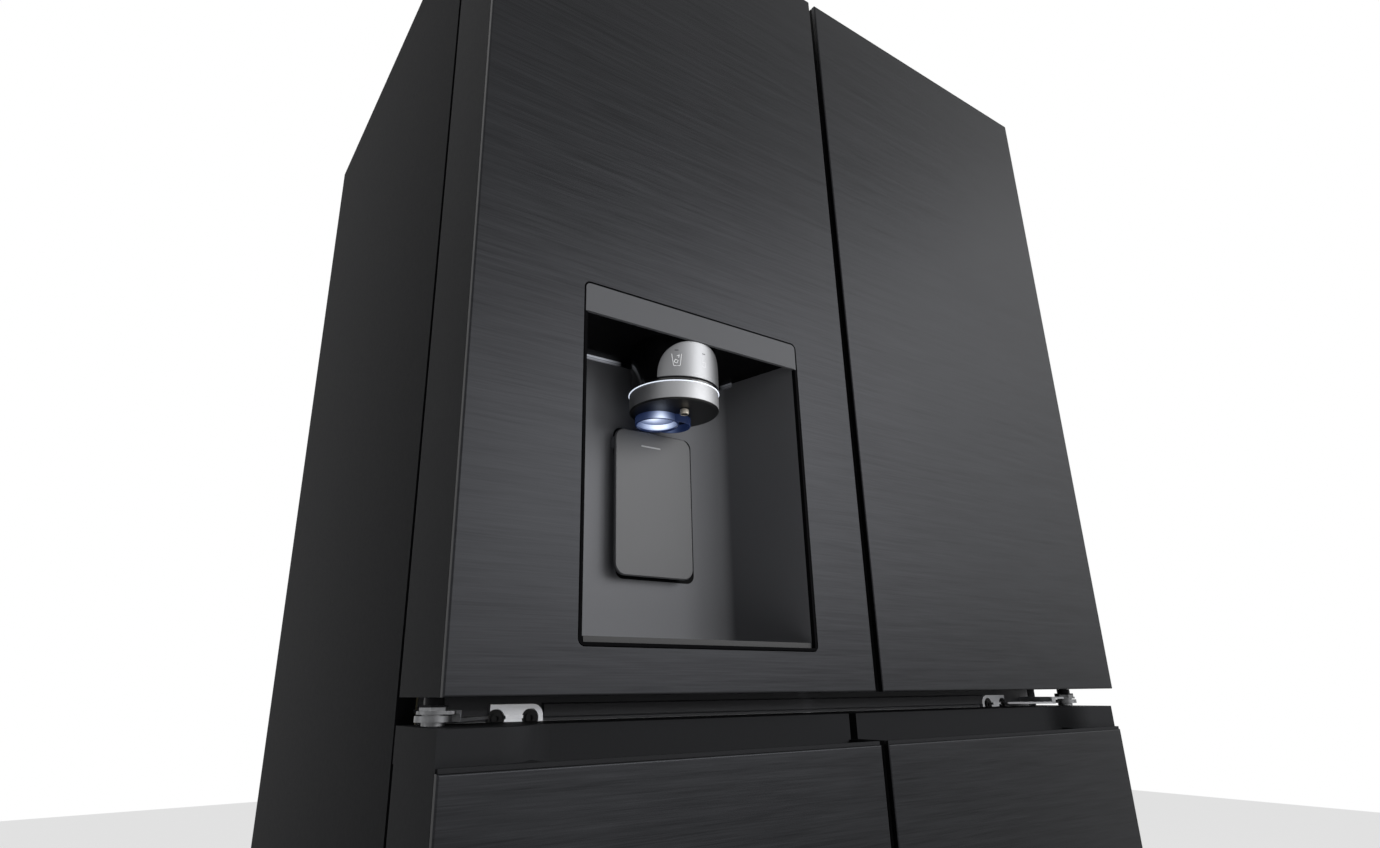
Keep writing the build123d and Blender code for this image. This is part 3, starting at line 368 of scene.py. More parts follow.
def edge_distance(made, radius):
    """How far a point is outside the rounded outline of the dispenser's rim; negative inside it."""
    centre = (housing_low + housing_high) / 2
    half = (housing_high - housing_low) / 2
    across = (made.axis("X") - centre.x).math("ABSOLUTE") - (half.x - radius)
    up = (made.axis("Z") - centre.z).math("ABSOLUTE") - (half.z - radius)
    corner = across.math("MAXIMUM", 0.0) ** 2 + up.math("MAXIMUM", 0.0) ** 2
    return corner ** 0.5 + across.math("MAXIMUM", up).math("MINIMUM", 0.0) - radius


def rubber_finish():
    made = Finish("seal_rubber", specular_ior_level=0.25)
    bloom = made.noise(45.0, 4.0)
    skin = made.noise(1400.0, 2.0)
    made.varies("Base Color", made.mix(bloom, (0.016, 0.016, 0.017), (0.034, 0.034, 0.035)))
    made.varies("Roughness", bloom * 0.16 + 0.55)
    made.bump(skin, 0.00003)
    return made


def lit_finish(name, shade, strength):
    """A lit diffuser with a faint frost."""
    made = Finish(name, base_color=opaque((0.8, 0.8, 0.8)), roughness=0.4, emission_strength=strength)
    frost = made.noise(600.0, 2.0)
    made.varies("Emission Color", made.mix(frost, scaled(shade, 0.86), shade))
    return made


def chute_finish(name, strength, shade, low_alpha):
    """Translucent blue moulding, lit from inside: navy where little light reaches, white where much does."""
    made = Finish(name, ior=1.46, roughness=0.12, specular_ior_level=0.15, emission_strength=strength)
    patch = made.noise(60.0, 2.0)
    lit = (made.attribute("glow") * (patch * 0.3 + 0.85)).clamped()
    blue = made.mix(lit, (0.003, 0.006, 0.022), (0.055, 0.095, 0.235))
    made.varies("Base Color", made.mix(lit, (0.004, 0.007, 0.024), (0.30, 0.38, 0.62)))
    made.varies("Emission Color", made.mix(lit ** 2.6, blue, shade))
    made.varies("Alpha", lit * (0.98 - low_alpha) + low_alpha)
    return made


def hinge_finish():
    """Zinc-plated steel: pale on the plates; darker grey at the pivots and black on the pin above them, both
    painted shade.
    """
    made = brushed("hinge_zinc", (0.56, 0.566, 0.585), 0.36, width=0.0006, stroke=0.004, contrast=0.18)
    pivot = made.axis("X").math("ABSOLUTE").over(PIVOT_X - 15.5 * MM, 0.5 * MM)
    pivot = pivot * (1 - made.axis("Y").over(0.0, 10.0 * MM))
    height = made.axis("Z")
    upper = height.over(PIVOT_TOP, 0.5 * MM) * (1 - height.over(UPPER_BOTTOM + 50.0 * MM, 1.0 * MM))
    plain = made.shader.inputs["Base Color"].links[0].from_socket
    # Painted shade: the pivots get a darker grey and the pin above them black.
    turned = made.mix(made.noise(500.0), (0.10, 0.101, 0.104), (0.16, 0.162, 0.168))
    turned = made.mix(upper, turned, SOFT_BLACK)
    made.varies("Base Color", made.mix(pivot, plain, turned))
    return made


def strip_painted_light_finish():
    """Pale ribbed strip whose light is painted and glows though it is no lamp: a painted highlight at its
    left end, painted shadow behind the column, a faint painted highlight at its right end.
    """
    made = Finish("strip_guide", specular_ior_level=0.3, emission_strength=0.42)
    rib_pitch = 1.9 * MM
    rib = (made.axis("Z") * (math.tau / rib_pitch) + 1.2).math("SINE") * 0.5 + 0.5
    top = made.axis("Z").over(STRIP_Z - 2.2 * MM, 0.4 * MM)
    cloud = made.noise(40.0, 2.0)
    left = 1 - made.axis("X").over(AXIS_X - 45.0 * MM, 24.0 * MM)
    right = made.axis("X").over(AXIS_X + 102.0 * MM, 3.0 * MM)
    end = 1 - made.axis("X").over(AXIS_X + 118.0 * MM, 3.0 * MM)
    # Painted light: bright at the left end, painted shadow behind the column, faint at the right end.
    lit = (left + right * end * 0.2) * (rib * 0.35 + 0.3 + top * 0.35) * (cloud * 0.3 + 0.85)
    made.varies("Base Color", made.mix(lit, SOFT_BLACK, (0.50, 0.505, 0.52)))
    made.varies("Emission Color", made.mix(lit, (0, 0, 0), (0.86, 0.9, 1.0)))
    made.varies("Roughness", cloud * 0.1 + 0.3)
    made.bump(rib, 0.0002)
    return made


def all_finishes(settings):
    """The finish of each material slot of the record."""
    door = settings.door_colour
    grain = {"width": settings.grain_width, "stroke": settings.grain_length}
    return {
        "black_steel": brushed("brushed_black_steel", door, 0.42, contrast=0.7,
                               specular_tint=opaque((0.8, 0.8, 0.8)), **grain),
        "case_paint": painted("case_paint_matt", settings.case_colour, 0.55),
        "door_edge": painted("door_edge_matt", (0.025, 0.0255, 0.0272), 0.5),
        "black_plastic": moulded("black_moulding", (0.010, 0.010, 0.011), 0.5),
        "dark_beam": moulded("dark_beam_moulding", (0.125, 0.127, 0.136), 0.48, specular=0.25),
        "galvanised": galvanised("galvanised_sheet", (0.40, 0.41, 0.42)),
        "foam": foamed("rigid_foam", (0.74, 0.66, 0.44)),
        "white_liner": moulded("liner_sheet", settings.liner_colour, 0.32, grain=160.0, relief=0.00001,
                               contrast=0.03),
        "white_plastic": moulded("white_moulding", (0.64, 0.65, 0.66), 0.42, grain=700.0, contrast=0.04),
        "clear_plastic": clear("clear_moulding", (0.78, 0.85, 0.9), 0.24, 0.05),
        "clear_glass": clear("shelf_glass_sheet", (0.62, 0.78, 0.74), 0.16, 0.01),
        "compressor_paint": glossy("compressor_enamel", (0.012, 0.012, 0.013)),
        "coil_metal": brushed("fin_aluminium", (0.62, 0.62, 0.63), 0.36, along="Z", contrast=0.12),
        "hinge_steel": hinge_finish(),
        "screw_black": moulded("screw_oxide", NEAR_BLACK, 0.26, specular=0.12),
        "gasket_rubber": rubber_finish(),
        "recess_grey": recess_finish(settings),
        "gloss_black": glossy("piano_black", NEAR_BLACK),
        "satin_silver": brushed("satin_silver_trim", (0.285, 0.288, 0.297), 0.54, width=0.0005, stroke=0.002,
                                contrast=0.08, relief=0.000004),
        "chute_plastic": chute_finish("chute_moulding", settings.light_strength, settings.light_colour, 0.97),
        "nozzle_brass": brushed("nozzle_metal", (0.60, 0.56, 0.49), 0.6, along="Z", width=0.0005,
                                stroke=0.004, contrast=0.12),
        "paddle_black": moulded("paddle_moulding", (0.078, 0.079, 0.084), 0.42, grain=1100.0, specular=0.25),
        "auger_steel": brushed("auger_metal", (0.6, 0.6, 0.61), 0.25, width=0.0008, stroke=0.03,
                               contrast=0.15),
    }


finishes = {}


# ------------------------------------------------------------------ mesh helpers

def rounded_section(corners, radius, steps=4):
    """A closed outline through (r, z) corners, each corner rounded."""
    outline = []
    count = len(corners)
    for i, corner in enumerate(corners):
        here = Vector(corner)
        to_last = (Vector(corners[i - 1]) - here).normalized()
        to_next = (Vector(corners[(i + 1) % count]) - here).normalized()
        half = to_last.angle(to_next) / 2
        cut = radius / math.tan(half)
        start = here + to_last * cut
        end = here + to_next * cut
        for step in range(steps + 1):
            t = step / steps
            outline.append(start.lerp(here, t).lerp(here.lerp(end, t), t))
    return outline


def add_loft(bm, loops, closed=True):
    """Faces between loops; closed joins the last loop to the first, otherwise each end gets a face."""
    rings = [[bm.verts.new(point) for point in loop] for loop in loops]
    pairs = list(zip(rings, rings[1:]))
    if closed:
        pairs.append((rings[-1], rings[0]))
    for a, b in pairs:
        for i in range(len(a)):
            j = (i + 1) % len(a)
            bm.faces.new((a[i], a[j], b[j], b[i]))
    if not closed:
        bm.faces.new(rings[0])
        bm.faces.new(rings[-1])
    return rings


def circle(x, y, z, r, steps=96):
    turn = math.tau / steps
    return [Vector((x + r * math.cos(i * turn), y + r * math.sin(i * turn), z)) for i in range(steps)]


def quarter(start=0, steps=8):
    """Unit vectors over a quarter turn, that starts a number of quarters round."""
    turns = [(start + i / steps) * math.pi / 2 for i in range(steps + 1)]
    return [Vector((math.cos(turn), math.sin(turn))) for turn in turns]


def add_slab(bm, low, high, bevel):
    """A block between two corners, with rounded edges."""
    size = Vector(high) - Vector(low)
    centre = (Vector(low) + Vector(high)) / 2
    made = bmesh.ops.create_cube(bm, size=1.0, matrix=Matrix.LocRotScale(centre, None, size))
    edges = list({e for v in made["verts"] for e in v.link_edges})
    bmesh.ops.bevel(bm, geom=edges, offset=bevel, segments=2, affect="EDGES", profile=0.5)


def mesh_piece(name, bm, slot, body, finish=None, smooth=40.0):
    """A finished piece: its place is in its mesh, and it moves with a body of the frame."""
    bmesh.ops.remove_doubles(bm, verts=bm.verts, dist=1e-7)
    bmesh.ops.recalc_face_normals(bm, faces=bm.faces)
    mesh = bpy.data.meshes.new(name)
    bm.to_mesh(mesh)
    bm.free()
    return piece_of(name, mesh, slot, body, finish, smooth)


def piece_of(name, mesh, slot, body, finish=None, smooth=40.0):
    mesh.materials.clear()
    mesh.materials.append((finish or finishes[slot]).material)
    mesh.polygons.foreach_set("use_smooth", [True] * len(mesh.polygons))
    mesh.set_sharp_from_angle(angle=math.radians(smooth))
    piece = bpy.data.objects.new(name, mesh)
    bpy.context.scene.collection.objects.link(piece)
    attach(piece, body)
    return piece


def lofted_piece(name, loops, slot, finish=None, closed=False, smooth=40.0):
    """A piece of the upper left door, through loops of points."""
    bm = bmesh.new()
    add_loft(bm, loops, closed)
    return mesh_piece(name, bm, slot, DOOR, finish, smooth)


def turned_piece(name, outline, slot, finish=None, x=AXIS_X, y=AXIS_Y, steps=RING_STEPS):
    """A ring on the upper left door, turned from a closed outline of (r, z) points."""
    return lofted_piece(name, [circle(x, y, z, r, steps) for r, z in outline], slot, finish, closed=True)


def settings_of(context):
    return context.scene.fridge


# ------------------------------------------------------------------ dispenser

BEZEL_Z = ring_high.z - 0.6 * MM
STRIP_Z = BEZEL_Z + 6.7 * MM
RECESS_BACK = housing_high.y - 2.5 * MM
UPPER_BOTTOM = housing_low.z - 37.8 * MM
PIVOT_X = 441.5 * MM
PIVOT_TOP = UPPER_BOTTOM - 7.5 * MM
RING_BOTTOM = ring_low.z
RING_TOP = RING_BOTTOM + 18.9 * MM
RING_R = (ring_high.x - ring_low.x) / 2
COLUMN_R = (head_high.x - head_low.x) / 2
PLATE_R = COLUMN_R + 2.0 * MM
PLATE_LOW = RING_TOP + 5.0 * MM
PLATE_HIGH = ring_high.z
PLATE_HALF_ANGLE = math.radians(56.0)
ICE_R = 22.9 * MM
SIDE_R = 19.8 * MM
ICE_X = chute_low.x + ICE_R
ICE_Y = chute_high.y - ICE_R
SIDE_X = chute_high.x - SIDE_R
SIDE_Y = chute_low.y + SIDE_R
NOZZLE_X = (nozzle_low.x + nozzle_high.x) / 2
NOZZLE_Y = (nozzle_low.y + nozzle_high.y) / 2


class FRIDGE_OT_ring(bpy.types.Operator):
    """Makes the silver ring round the spout, the lit line over it and the curved face plate"""
    bl_idname = "fridge.ring"
    bl_label = "Dispenser ring"

    def execute(self, context):
        settings = settings_of(context)
        band = settings.ring_band
        edge = settings.ring_edge
        lip = settings.ring_chamfer
        line = settings.light_line
        inner = RING_R - band
        low = RING_BOTTOM + lip
        section = [(inner, low), (RING_R, low), (RING_R, RING_TOP), (inner, RING_TOP)]
        ring = turned_piece("silver_ring", rounded_section(section, edge), "satin_silver")
        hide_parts("dispenser_ring")
        add_arched_plate()
        outline = [(COLUMN_R + 1.6 * MM, RING_TOP - 0.2 * MM), (RING_R - 0.4 * MM, RING_TOP - 0.2 * MM),
                   (RING_R - 0.7 * MM, RING_TOP + line), (COLUMN_R + 2.6 * MM, RING_TOP + line)]
        outline = rounded_section(outline, 0.15 * MM, 2)
        turned_piece("ring_light", outline, "chute_plastic", finishes["ring_light"])
        return {"FINISHED"}


def on_column(angle, z, r):
    """A point round the column's axis; the angle is 0 at the front and grows to the right."""
    turn = angle - math.pi / 2
    return Vector((AXIS_X + r * math.cos(turn), AXIS_Y + r * math.sin(turn), z))


def add_arched_plate():
    """The curved face plate on the column: half of a rather full ellipse, wrapped on a cylinder."""
    columns = 64
    rows = 24
    fullness = 2.3
    chamfer = 0.35 * MM
    rise = PLATE_HIGH - PLATE_LOW
    bm = bmesh.new()
    layers = []
    for r in (COLUMN_R + 0.05 * MM, PLATE_R - chamfer, PLATE_R):
        grid = []
        inset = chamfer if r == PLATE_R else 0.0
        for i in range(columns + 1):
            u = -1 + 2 * i / columns
            across = math.sin(u * math.pi / 2)
            arch = max(0.0, 1 - abs(across) ** fullness) ** (1 / fullness)
            top = PLATE_LOW + (rise - inset) * arch
            low = min(PLATE_LOW + inset, top)
            angle = (PLATE_HALF_ANGLE - inset / PLATE_R) * across
            grid.append([on_column(angle, low + (top - low) * j / rows, r) for j in range(rows + 1)])
        layers.append(grid)
    outline = [(i, 0) for i in range(columns)] + [(columns, j) for j in range(rows)]
    outline += [(i, rows) for i in range(columns, 0, -1)] + [(0, j) for j in range(rows, 0, -1)]
    add_sheet(bm, layers[0], columns, rows)
    add_sheet(bm, layers[-1], columns, rows)
    for low, high in zip(layers, layers[1:]):
        edge_low = [bm.verts.new(low[i][j]) for i, j in outline]
        edge_high = [bm.verts.new(high[i][j]) for i, j in outline]
        for i in range(len(outline)):
            j = (i + 1) % len(outline)
            bm.faces.new((edge_low[i], edge_low[j], edge_high[j], edge_high[i]))
    bmesh.ops.remove_doubles(bm, verts=bm.verts, dist=2e-6)
    bmesh.ops.dissolve_degenerate(bm, dist=1e-7, edges=bm.edges)
    mesh_piece("face_plate", bm, "satin_silver", DOOR, finishes["plate"])


def add_sheet(bm, grid, columns, rows):
    verts = [[bm.verts.new(point) for point in column] for column in grid]
    for i in range(columns):
        for j in range(rows):
            bm.faces.new((verts[i][j], verts[i + 1][j], verts[i + 1][j + 1], verts[i][j + 1]))


class FRIDGE_OT_head(bpy.types.Operator):
    """Makes the gloss black column over the ring, with its collar and its flat underside"""
    bl_idname = "fridge.head"
    bl_label = "Dispenser column"

    def execute(self, context):
        top = head_high.z
        settings = settings_of(context)
        lip = settings.ring_chamfer
        bore = 20.0 * MM
        low = RING_TOP - 1.2 * MM
        collar = RING_TOP + 3.4 * MM
        collar_r = COLUMN_R + 1.5 * MM
        corners = [(bore, low), (collar_r, low), (collar_r, collar), (COLUMN_R, collar), (COLUMN_R, top),
                   (bore, top)]
        column = turned_piece("dispenser_column", rounded_section(corners, 0.3 * MM, 3), "gloss_black")
        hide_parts("dispenser_head")
        edge = RING_BOTTOM + lip
        outer = RING_R - 0.15 * MM
        inner = RING_R - settings.ring_band - 0.05 * MM
        under = [(RING_R - lip, RING_BOTTOM), (outer, edge - 0.3 * MM), (outer, edge), (inner, edge),
                 (inner, RING_TOP - 0.6 * MM)]
        loops = [circle(AXIS_X, AXIS_Y, z, r, RING_STEPS) for r, z in under]
        lofted_piece("head_underside", loops, "gloss_black", finishes["ring_black"], smooth=20.0)
        return {"FINISHED"}


OUTER_LIT = 246     # degrees round the larger tube where its outside is lit most
INNER_LIT = 48      # degrees round the larger tube where its inside is lit most
SIDE_LIT = 60       # degrees round the smaller tube where its inside is lit most


def glow_at(angle, peak, spread, low=0.14):
    """How brightly a curved wall is lit, 0 to 1, by how far it is from the lamp's own direction."""
    away = math.remainder(angle - math.radians(peak), math.tau)
    return low + low * 1.4 * math.exp(-(away / 1.3) ** 2) + (1 - 2.4 * low) * math.exp(-(away / spread) ** 2)


def add_ice_tube(bm, glow):
    """The larger tube, stepped inside; its inner wall is lit and its lip stays blue."""
    low = chute_low.z
    high = chute_high.z
    step = low + (high - low) * 0.38
    bore = ICE_R - 1.3 * MM
    facing = math.atan2(SIDE_Y - ICE_Y, SIDE_X - ICE_X)
    outline = [(ICE_R, low + 1.0 * MM, 1, OUTER_LIT), (ICE_R - 0.1 * MM, low + 0.5 * MM, 0.12, OUTER_LIT),
               (ICE_R - 0.6 * MM, low, 0.06, OUTER_LIT), (bore, low + 0.2 * MM, 0.05, INNER_LIT),
               (bore - 0.3 * MM, low + 1.6 * MM, 0.1, INNER_LIT),
               (bore - 0.5 * MM, step - 0.4 * MM, 0.95, INNER_LIT), (bore - 0.6 * MM, step, 0.85, INNER_LIT),
               (bore - 1.2 * MM, step + 0.1 * MM, 0.85, INNER_LIT),
               (bore - 1.3 * MM, step + 0.4 * MM, 1, INNER_LIT), (bore - 1.3 * MM, high, 1, INNER_LIT),
               (ICE_R, high, 0.6, OUTER_LIT)]
    rings = add_loft(bm, [circle(ICE_X, ICE_Y, z, r) for r, z, _, _ in outline])
    for ring, (_, _, share, peak) in zip(rings, outline):
        for i, vert in enumerate(ring):
            angle = i * math.tau / len(ring)
            lit = glow_at(angle, peak, 1.0)
            if peak == OUTER_LIT:
                away = math.remainder(angle - facing, math.tau)
                lit = glow_at(angle, peak, 0.42, 0.05) + 0.5 * math.exp(-(away / 0.12) ** 2)
            vert[glow] = share * lit


def add_side_tube(bm, glow):
    """The smaller tube: an open curve of wall whose ends run into the larger tube."""
    low = chute_low.z
    high = chute_high.z
    wall = 1.5 * MM
    section = [(SIDE_R, high), (SIDE_R, low + 0.6 * MM), (SIDE_R - 0.5 * MM, low), (SIDE_R - 1.0 * MM, low),
               (SIDE_R - wall, low + 0.6 * MM), (SIDE_R - wall, high)]
    gap = Vector((SIDE_X - ICE_X, SIDE_Y - ICE_Y))
    facing = math.atan2(gap.y, gap.x)
    reach = math.acos((ICE_R ** 2 - gap.length ** 2 - SIDE_R ** 2) / (2 * gap.length * SIDE_R)) + 0.03
    steps = 48
    outside = 0.05
    lip = 0.06
    loops = []
    values = []
    for i in range(steps + 1):
        angle = facing - reach + 2 * reach * i / steps
        way = Vector((math.cos(angle), math.sin(angle), 0.0))
        loops.append([Vector((SIDE_X, SIDE_Y, z)) + way * r for r, z in section])
        lit = glow_at(angle, SIDE_LIT, 0.4, 0.05) * 0.3
        values.append((outside, outside, lip, lip, lit, lit))
    rings = add_loft(bm, loops, closed=False)
    for ring, row in zip(rings, values):
        for vert, value in zip(ring, row):
            vert[glow] = value


class FRIDGE_OT_spout(bpy.types.Operator):
    """Makes the lit ice chute, its lamp and the water nozzle"""
    bl_idname = "fridge.spout"
    bl_label = "Ice chute and water nozzle"

    def execute(self, context):
        bm = bmesh.new()
        glow = bm.verts.layers.float.new("glow")
        add_ice_tube(bm, glow)
        add_side_tube(bm, glow)
        chute = mesh_piece("chute_wall", bm, "chute_plastic", DOOR, smooth=32.0)
        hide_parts("ice_chute")
        self.add_lamp()
        add_nozzle()
        return {"FINISHED"}

    def add_lamp(self):
        """The lit cap of the tube, brightest to one side of its middle."""
        high = chute_high.z
        reach = ICE_R - 3.0 * MM
        shares = (0.02, 0.2, 0.4, 0.6, 0.8, 1.0)
        bm = bmesh.new()
        glow = bm.verts.layers.float.new("glow")
        loops = [circle(ICE_X, ICE_Y, high - 0.7 * MM, reach * share, 48) for share in shares]
        loops.append(circle(ICE_X, ICE_Y, high - 0.1 * MM, reach, 48))
        add_loft(bm, loops, closed=False)
        spot = Vector((ICE_X - 2.0 * MM, ICE_Y + 2.0 * MM, high))
        for vert in bm.verts:
            vert[glow] = 0.12 + 0.88 * math.exp(-((vert.co - spot).length / (13.0 * MM)) ** 2)
        mesh_piece("chute_lamp", bm, "chute_plastic", DOOR, finishes["chute_lamp"])


def add_nozzle():
    """A turned tip with small chamfers, a dark collar at its top and a black plug in its bore, which is
    painted shade.
    """
    low = nozzle_low.z + 2.6 * MM
    high = nozzle_high.z
    corners = [(3.7 * MM, low), (4.2 * MM, low), (4.5 * MM, low + 0.4 * MM), (4.5 * MM, high - 0.9 * MM),
               (4.2 * MM, high - 0.6 * MM), (4.2 * MM, high), (3.7 * MM, high)]
    outline = rounded_section(corners, 0.1 * MM, 2)
    tip = turned_piece("nozzle_tip", outline, "nozzle_brass", None, NOZZLE_X, NOZZLE_Y, 64)
    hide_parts("water_nozzle")
    corners = [(4.0 * MM, high - 0.8 * MM), (4.9 * MM, high - 0.8 * MM), (4.9 * MM, high), (4.0 * MM, high)]
    outline = rounded_section(corners, 0.15 * MM, 2)
    black = finishes["ring_black"]
    turned_piece("nozzle_collar", outline, "gloss_black", black, NOZZLE_X, NOZZLE_Y, 64)
    # Painted shade: a black plug in the bore stands in for the dark of the hole.
    bore = [circle(NOZZLE_X, NOZZLE_Y, low + z * MM, 3.72 * MM, 48) for z in (0.5, 3.0)]
    lofted_piece("nozzle_bore_painted_shade", bore, "black_plastic")


def add_stroke(bm, points, width, closed=False):
    """A raised line on the face plate through (mm along the face, mm up) points."""
    flat = [Vector(p) * MM for p in points]
    count = len(flat)
    left = []
    right = []
    for i, here in enumerate(flat):
        last = flat[i - 1] if closed or i else here - (flat[1] - here)
        after = flat[(i + 1) % count] if closed or i < count - 1 else here + (here - flat[i - 1])
        way = (here - last).normalized() + (after - here).normalized()
        side = Vector((-way.y, way.x)).normalized()
        lean = max(0.5, side.dot(Vector((-(after - here).y, (after - here).x)).normalized()))
        left.append(here + side * width / 2 / lean)
        right.append(here - side * width / 2 / lean)
    loops = []
    for a, b in zip(left, right):
        quad = [(a, 0.0), (b, 0.0), (b, 0.12 * MM), (a, 0.12 * MM)]
        loops.append([on_column(p.x / PLATE_R, p.y, PLATE_R - 0.04 * MM + lift) for p, lift in quad])
    add_loft(bm, loops, closed=closed)


class FRIDGE_OT_marks(bpy.types.Operator):
    """Makes the icons with their dashes, the mark on the paddle, the strip with its painted light and the
    painted shadow behind the paddle
    """
    bl_idname = "fridge.marks"
    bl_label = "Icons and marks"

    def execute(self, context):
        settings = settings_of(context)
        width = settings.icon_stroke
        ice_x = PLATE_R / MM * math.radians(-31.0)
        water_x = PLATE_R / MM * math.radians(6.0)
        icon_z = (PLATE_LOW + PLATE_HIGH) / 2 / MM - 3.0
        # The icons are drawn in millimetres along and up the face plate.
        bm = bmesh.new()
        x = ice_x
        cup = [(x - 4.9, icon_z + 6.6), (x - 3.4, icon_z - 5.6), (x - 2.8, icon_z - 6.2),
               (x + 2.8, icon_z - 6.2), (x + 3.4, icon_z - 5.6), (x + 4.9, icon_z + 6.6)]
        add_stroke(bm, cup, width)
        turns = [0.35 + k * math.pi / 2 for k in range(4)]
        cube = [(x - 0.6 + 2.2 * math.cos(turn), icon_z - 1.4 + 2.2 * math.sin(turn)) for turn in turns]
        add_stroke(bm, cube, width, closed=True)
        add_stroke(bm, [(x + 0.2, icon_z + 4.4), (x + 2.6, icon_z + 5.2), (x + 1.9, icon_z + 2.4)], width)
        mesh_piece("ice_icon", bm, "white_plastic", DOOR, finishes["icon_light"])
        bm = bmesh.new()
        x = water_x
        glass = [(x - 2.6, icon_z + 4.4), (x - 1.9, icon_z - 3.6), (x + 1.9, icon_z - 3.6),
                 (x + 2.6, icon_z + 4.4)]
        add_stroke(bm, glass, width * 0.9)
        add_stroke(bm, [(x - 2.2, icon_z + 1.0), (x, icon_z + 1.6), (x + 2.2, icon_z + 1.0)], width * 0.9)
        mesh_piece("water_icon", bm, "satin_silver", DOOR, finishes["icon_faint"])
        bm = bmesh.new()
        for x in (ice_x, water_x):
            add_stroke(bm, [(x - 1.9, icon_z + 10.6), (x + 1.9, icon_z + 10.6)], width * 1.7)
        mesh_piece("icon_dashes", bm, "black_plastic", DOOR)
        self.add_paddle_mark()
        self.add_strip(settings.strip_height)
        self.add_pocket()
        return {"FINISHED"}

    def add_paddle_mark(self):
        x = (paddle_low.x + paddle_high.x) / 2 - 4.0 * MM
        z = paddle_high.z - 16.0 * MM
        y = paddle_low.y
        bm = bmesh.new()
        low = (x - 12.0 * MM, y - 0.15 * MM, z - 0.8 * MM)
        high = (x + 12.0 * MM, y + 0.3 * MM, z + 0.8 * MM)
        add_slab(bm, low, high, 0.12 * MM)
        mesh_piece("paddle_mark", bm, "satin_silver", "paddle", finishes["mark"])

    def add_strip(self, height):
        """The strip under the ceiling of the recess, bent round its back corners; its brightness is painted
        light.
        """
        half = (housing_high.x - housing_low.x) / 2 - 28.4 * MM
        bend = 10.0 * MM
        lead = 9.0 * MM
        slope = math.radians(14.0)
        path = [Vector((half + lead * math.sin(slope), RECESS_BACK - bend - lead))]
        path += [Vector((half - bend, RECESS_BACK - bend)) + way * bend for way in quarter()]
        path += [Vector((-x, y)) for x, y in reversed(path)]
        normals = []
        for i, here in enumerate(path):
            way = path[min(i + 1, len(path) - 1)] - path[max(i - 1, 0)]
            normals.append(Vector((-way.y, way.x)).normalized())
        rise = height / MM
        section = [(-0.3, 0.0), (0.5, 0.0), (1.1, 0.6), (1.1, rise - 0.6), (0.5, rise), (-0.3, rise)]
        loops = []
        for (x, y), side in zip(path, normals):
            loops.append([Vector((AXIS_X + x + side.x * out * MM, y + side.y * out * MM, STRIP_Z - drop * MM))
                          for out, drop in section])
        lofted_piece("recess_strip", loops, "satin_silver", finishes["strip"])

    def add_pocket(self):
        """A black sheet on the back of the recess, behind the paddle: painted shadow; it narrows downwards.
        """
        r = 9.0 * MM
        top = paddle_high.z + 4.6 * MM
        low = paddle_low.z - 1.6 * MM
        right = paddle_high.x + 10.4 * MM
        left = paddle_low.x + 5.2 * MM
        left_low = paddle_low.x + 8.6 * MM
        corners = []
        for x, z, start in ((right, top, 0), (left, top, 1), (left_low, low, 2), (right, low, 3)):
            cx = x - r if x == right else x + r
            cz = z - r if z == top else z + r
            corners += [(cx + r * way.x, cz + r * way.y) for way in quarter(start)]
        faces = (RECESS_BACK - 0.35 * MM, RECESS_BACK + 0.5 * MM)
        loops = [[Vector((x, y, z)) for x, z in corners] for y in faces]
        lofted_piece("paddle_pocket", loops, "black_plastic", finishes["pocket"])


# ------------------------------------------------------------------ patterns

class Pattern(Nodes):
    """A Geometry Nodes tree with named sizes, that is baked to a plain mesh."""

    def __init__(self, name, sizes):
        super().__init__(bpy.data.node_groups.new(name, "GeometryNodeTree"))
        self.name = name
        self.sizes = sizes
        for label, value in sizes.items():
            kind = "NodeSocketInt" if isinstance(value, int) else "NodeSocketFloat"
            self.tree.interface.new_socket(label, in_out="INPUT", socket_type=kind)
        self.tree.interface.new_socket("Geometry", in_out="OUTPUT", socket_type="NodeSocketGeometry")
        self.given = self.node("NodeGroupInput").outputs

    def size(self, label):
        return Num(self, self.given[label])

    def vector(self, x=0.0, y=0.0, z=0.0):
        return self.out("ShaderNodeCombineXYZ", {0: x, 1: y, 2: z})

    def shifted(self, geometry, place=(0, 0, 0), turn=(0, 0, 0)):
        sockets = {"Geometry": geometry, "Translation": place, "Rotation": turn}
        return self.out("GeometryNodeTransform", sockets)

    def joined(self, *parts):
        made = self.node("GeometryNodeJoinGeometry")
        for part in parts:
            self.tree.links.new(part, made.inputs[0])
        return made.outputs[0]

    def row(self, shape, count, step):
        """Copies of a shape along a straight line that starts at the origin."""
        line = self.out("GeometryNodeMeshLine", {"Count": count, "Offset": step}, mode="OFFSET")
        sockets = {"Points": line, "Instance": shape}
        return self.out("GeometryNodeInstanceOnPoints", sockets)

    def end(self, geometry, finish):
        real = self.out("GeometryNodeRealizeInstances", {0: geometry})
        coated = self.out("GeometryNodeSetMaterial", {"Geometry": real, "Material": finish.material})
        self.node("NodeGroupOutput", {"Geometry": coated})

    def baked(self, sizes, place):
        """A plain mesh of the tree at these sizes, moved to its place."""
        holder = bpy.data.objects.new(self.name, bpy.data.meshes.new(self.name))
        bpy.context.scene.collection.objects.link(holder)
        modifier = holder.modifiers.new(self.name, "NODES")
        modifier.node_group = self.tree
        for item in self.tree.interface.items_tree:
            if item.in_out == "INPUT":
                modifier[item.identifier] = sizes.get(item.name, self.sizes[item.name])
        bpy.context.view_layer.update()
        depsgraph = bpy.context.evaluated_depsgraph_get()
        mesh = bpy.data.meshes.new_from_object(holder.evaluated_get(depsgraph))
        holder.modifiers.remove(modifier)
        bpy.data.objects.remove(holder)
        mesh.transform(Matrix.Translation(place))
        return mesh


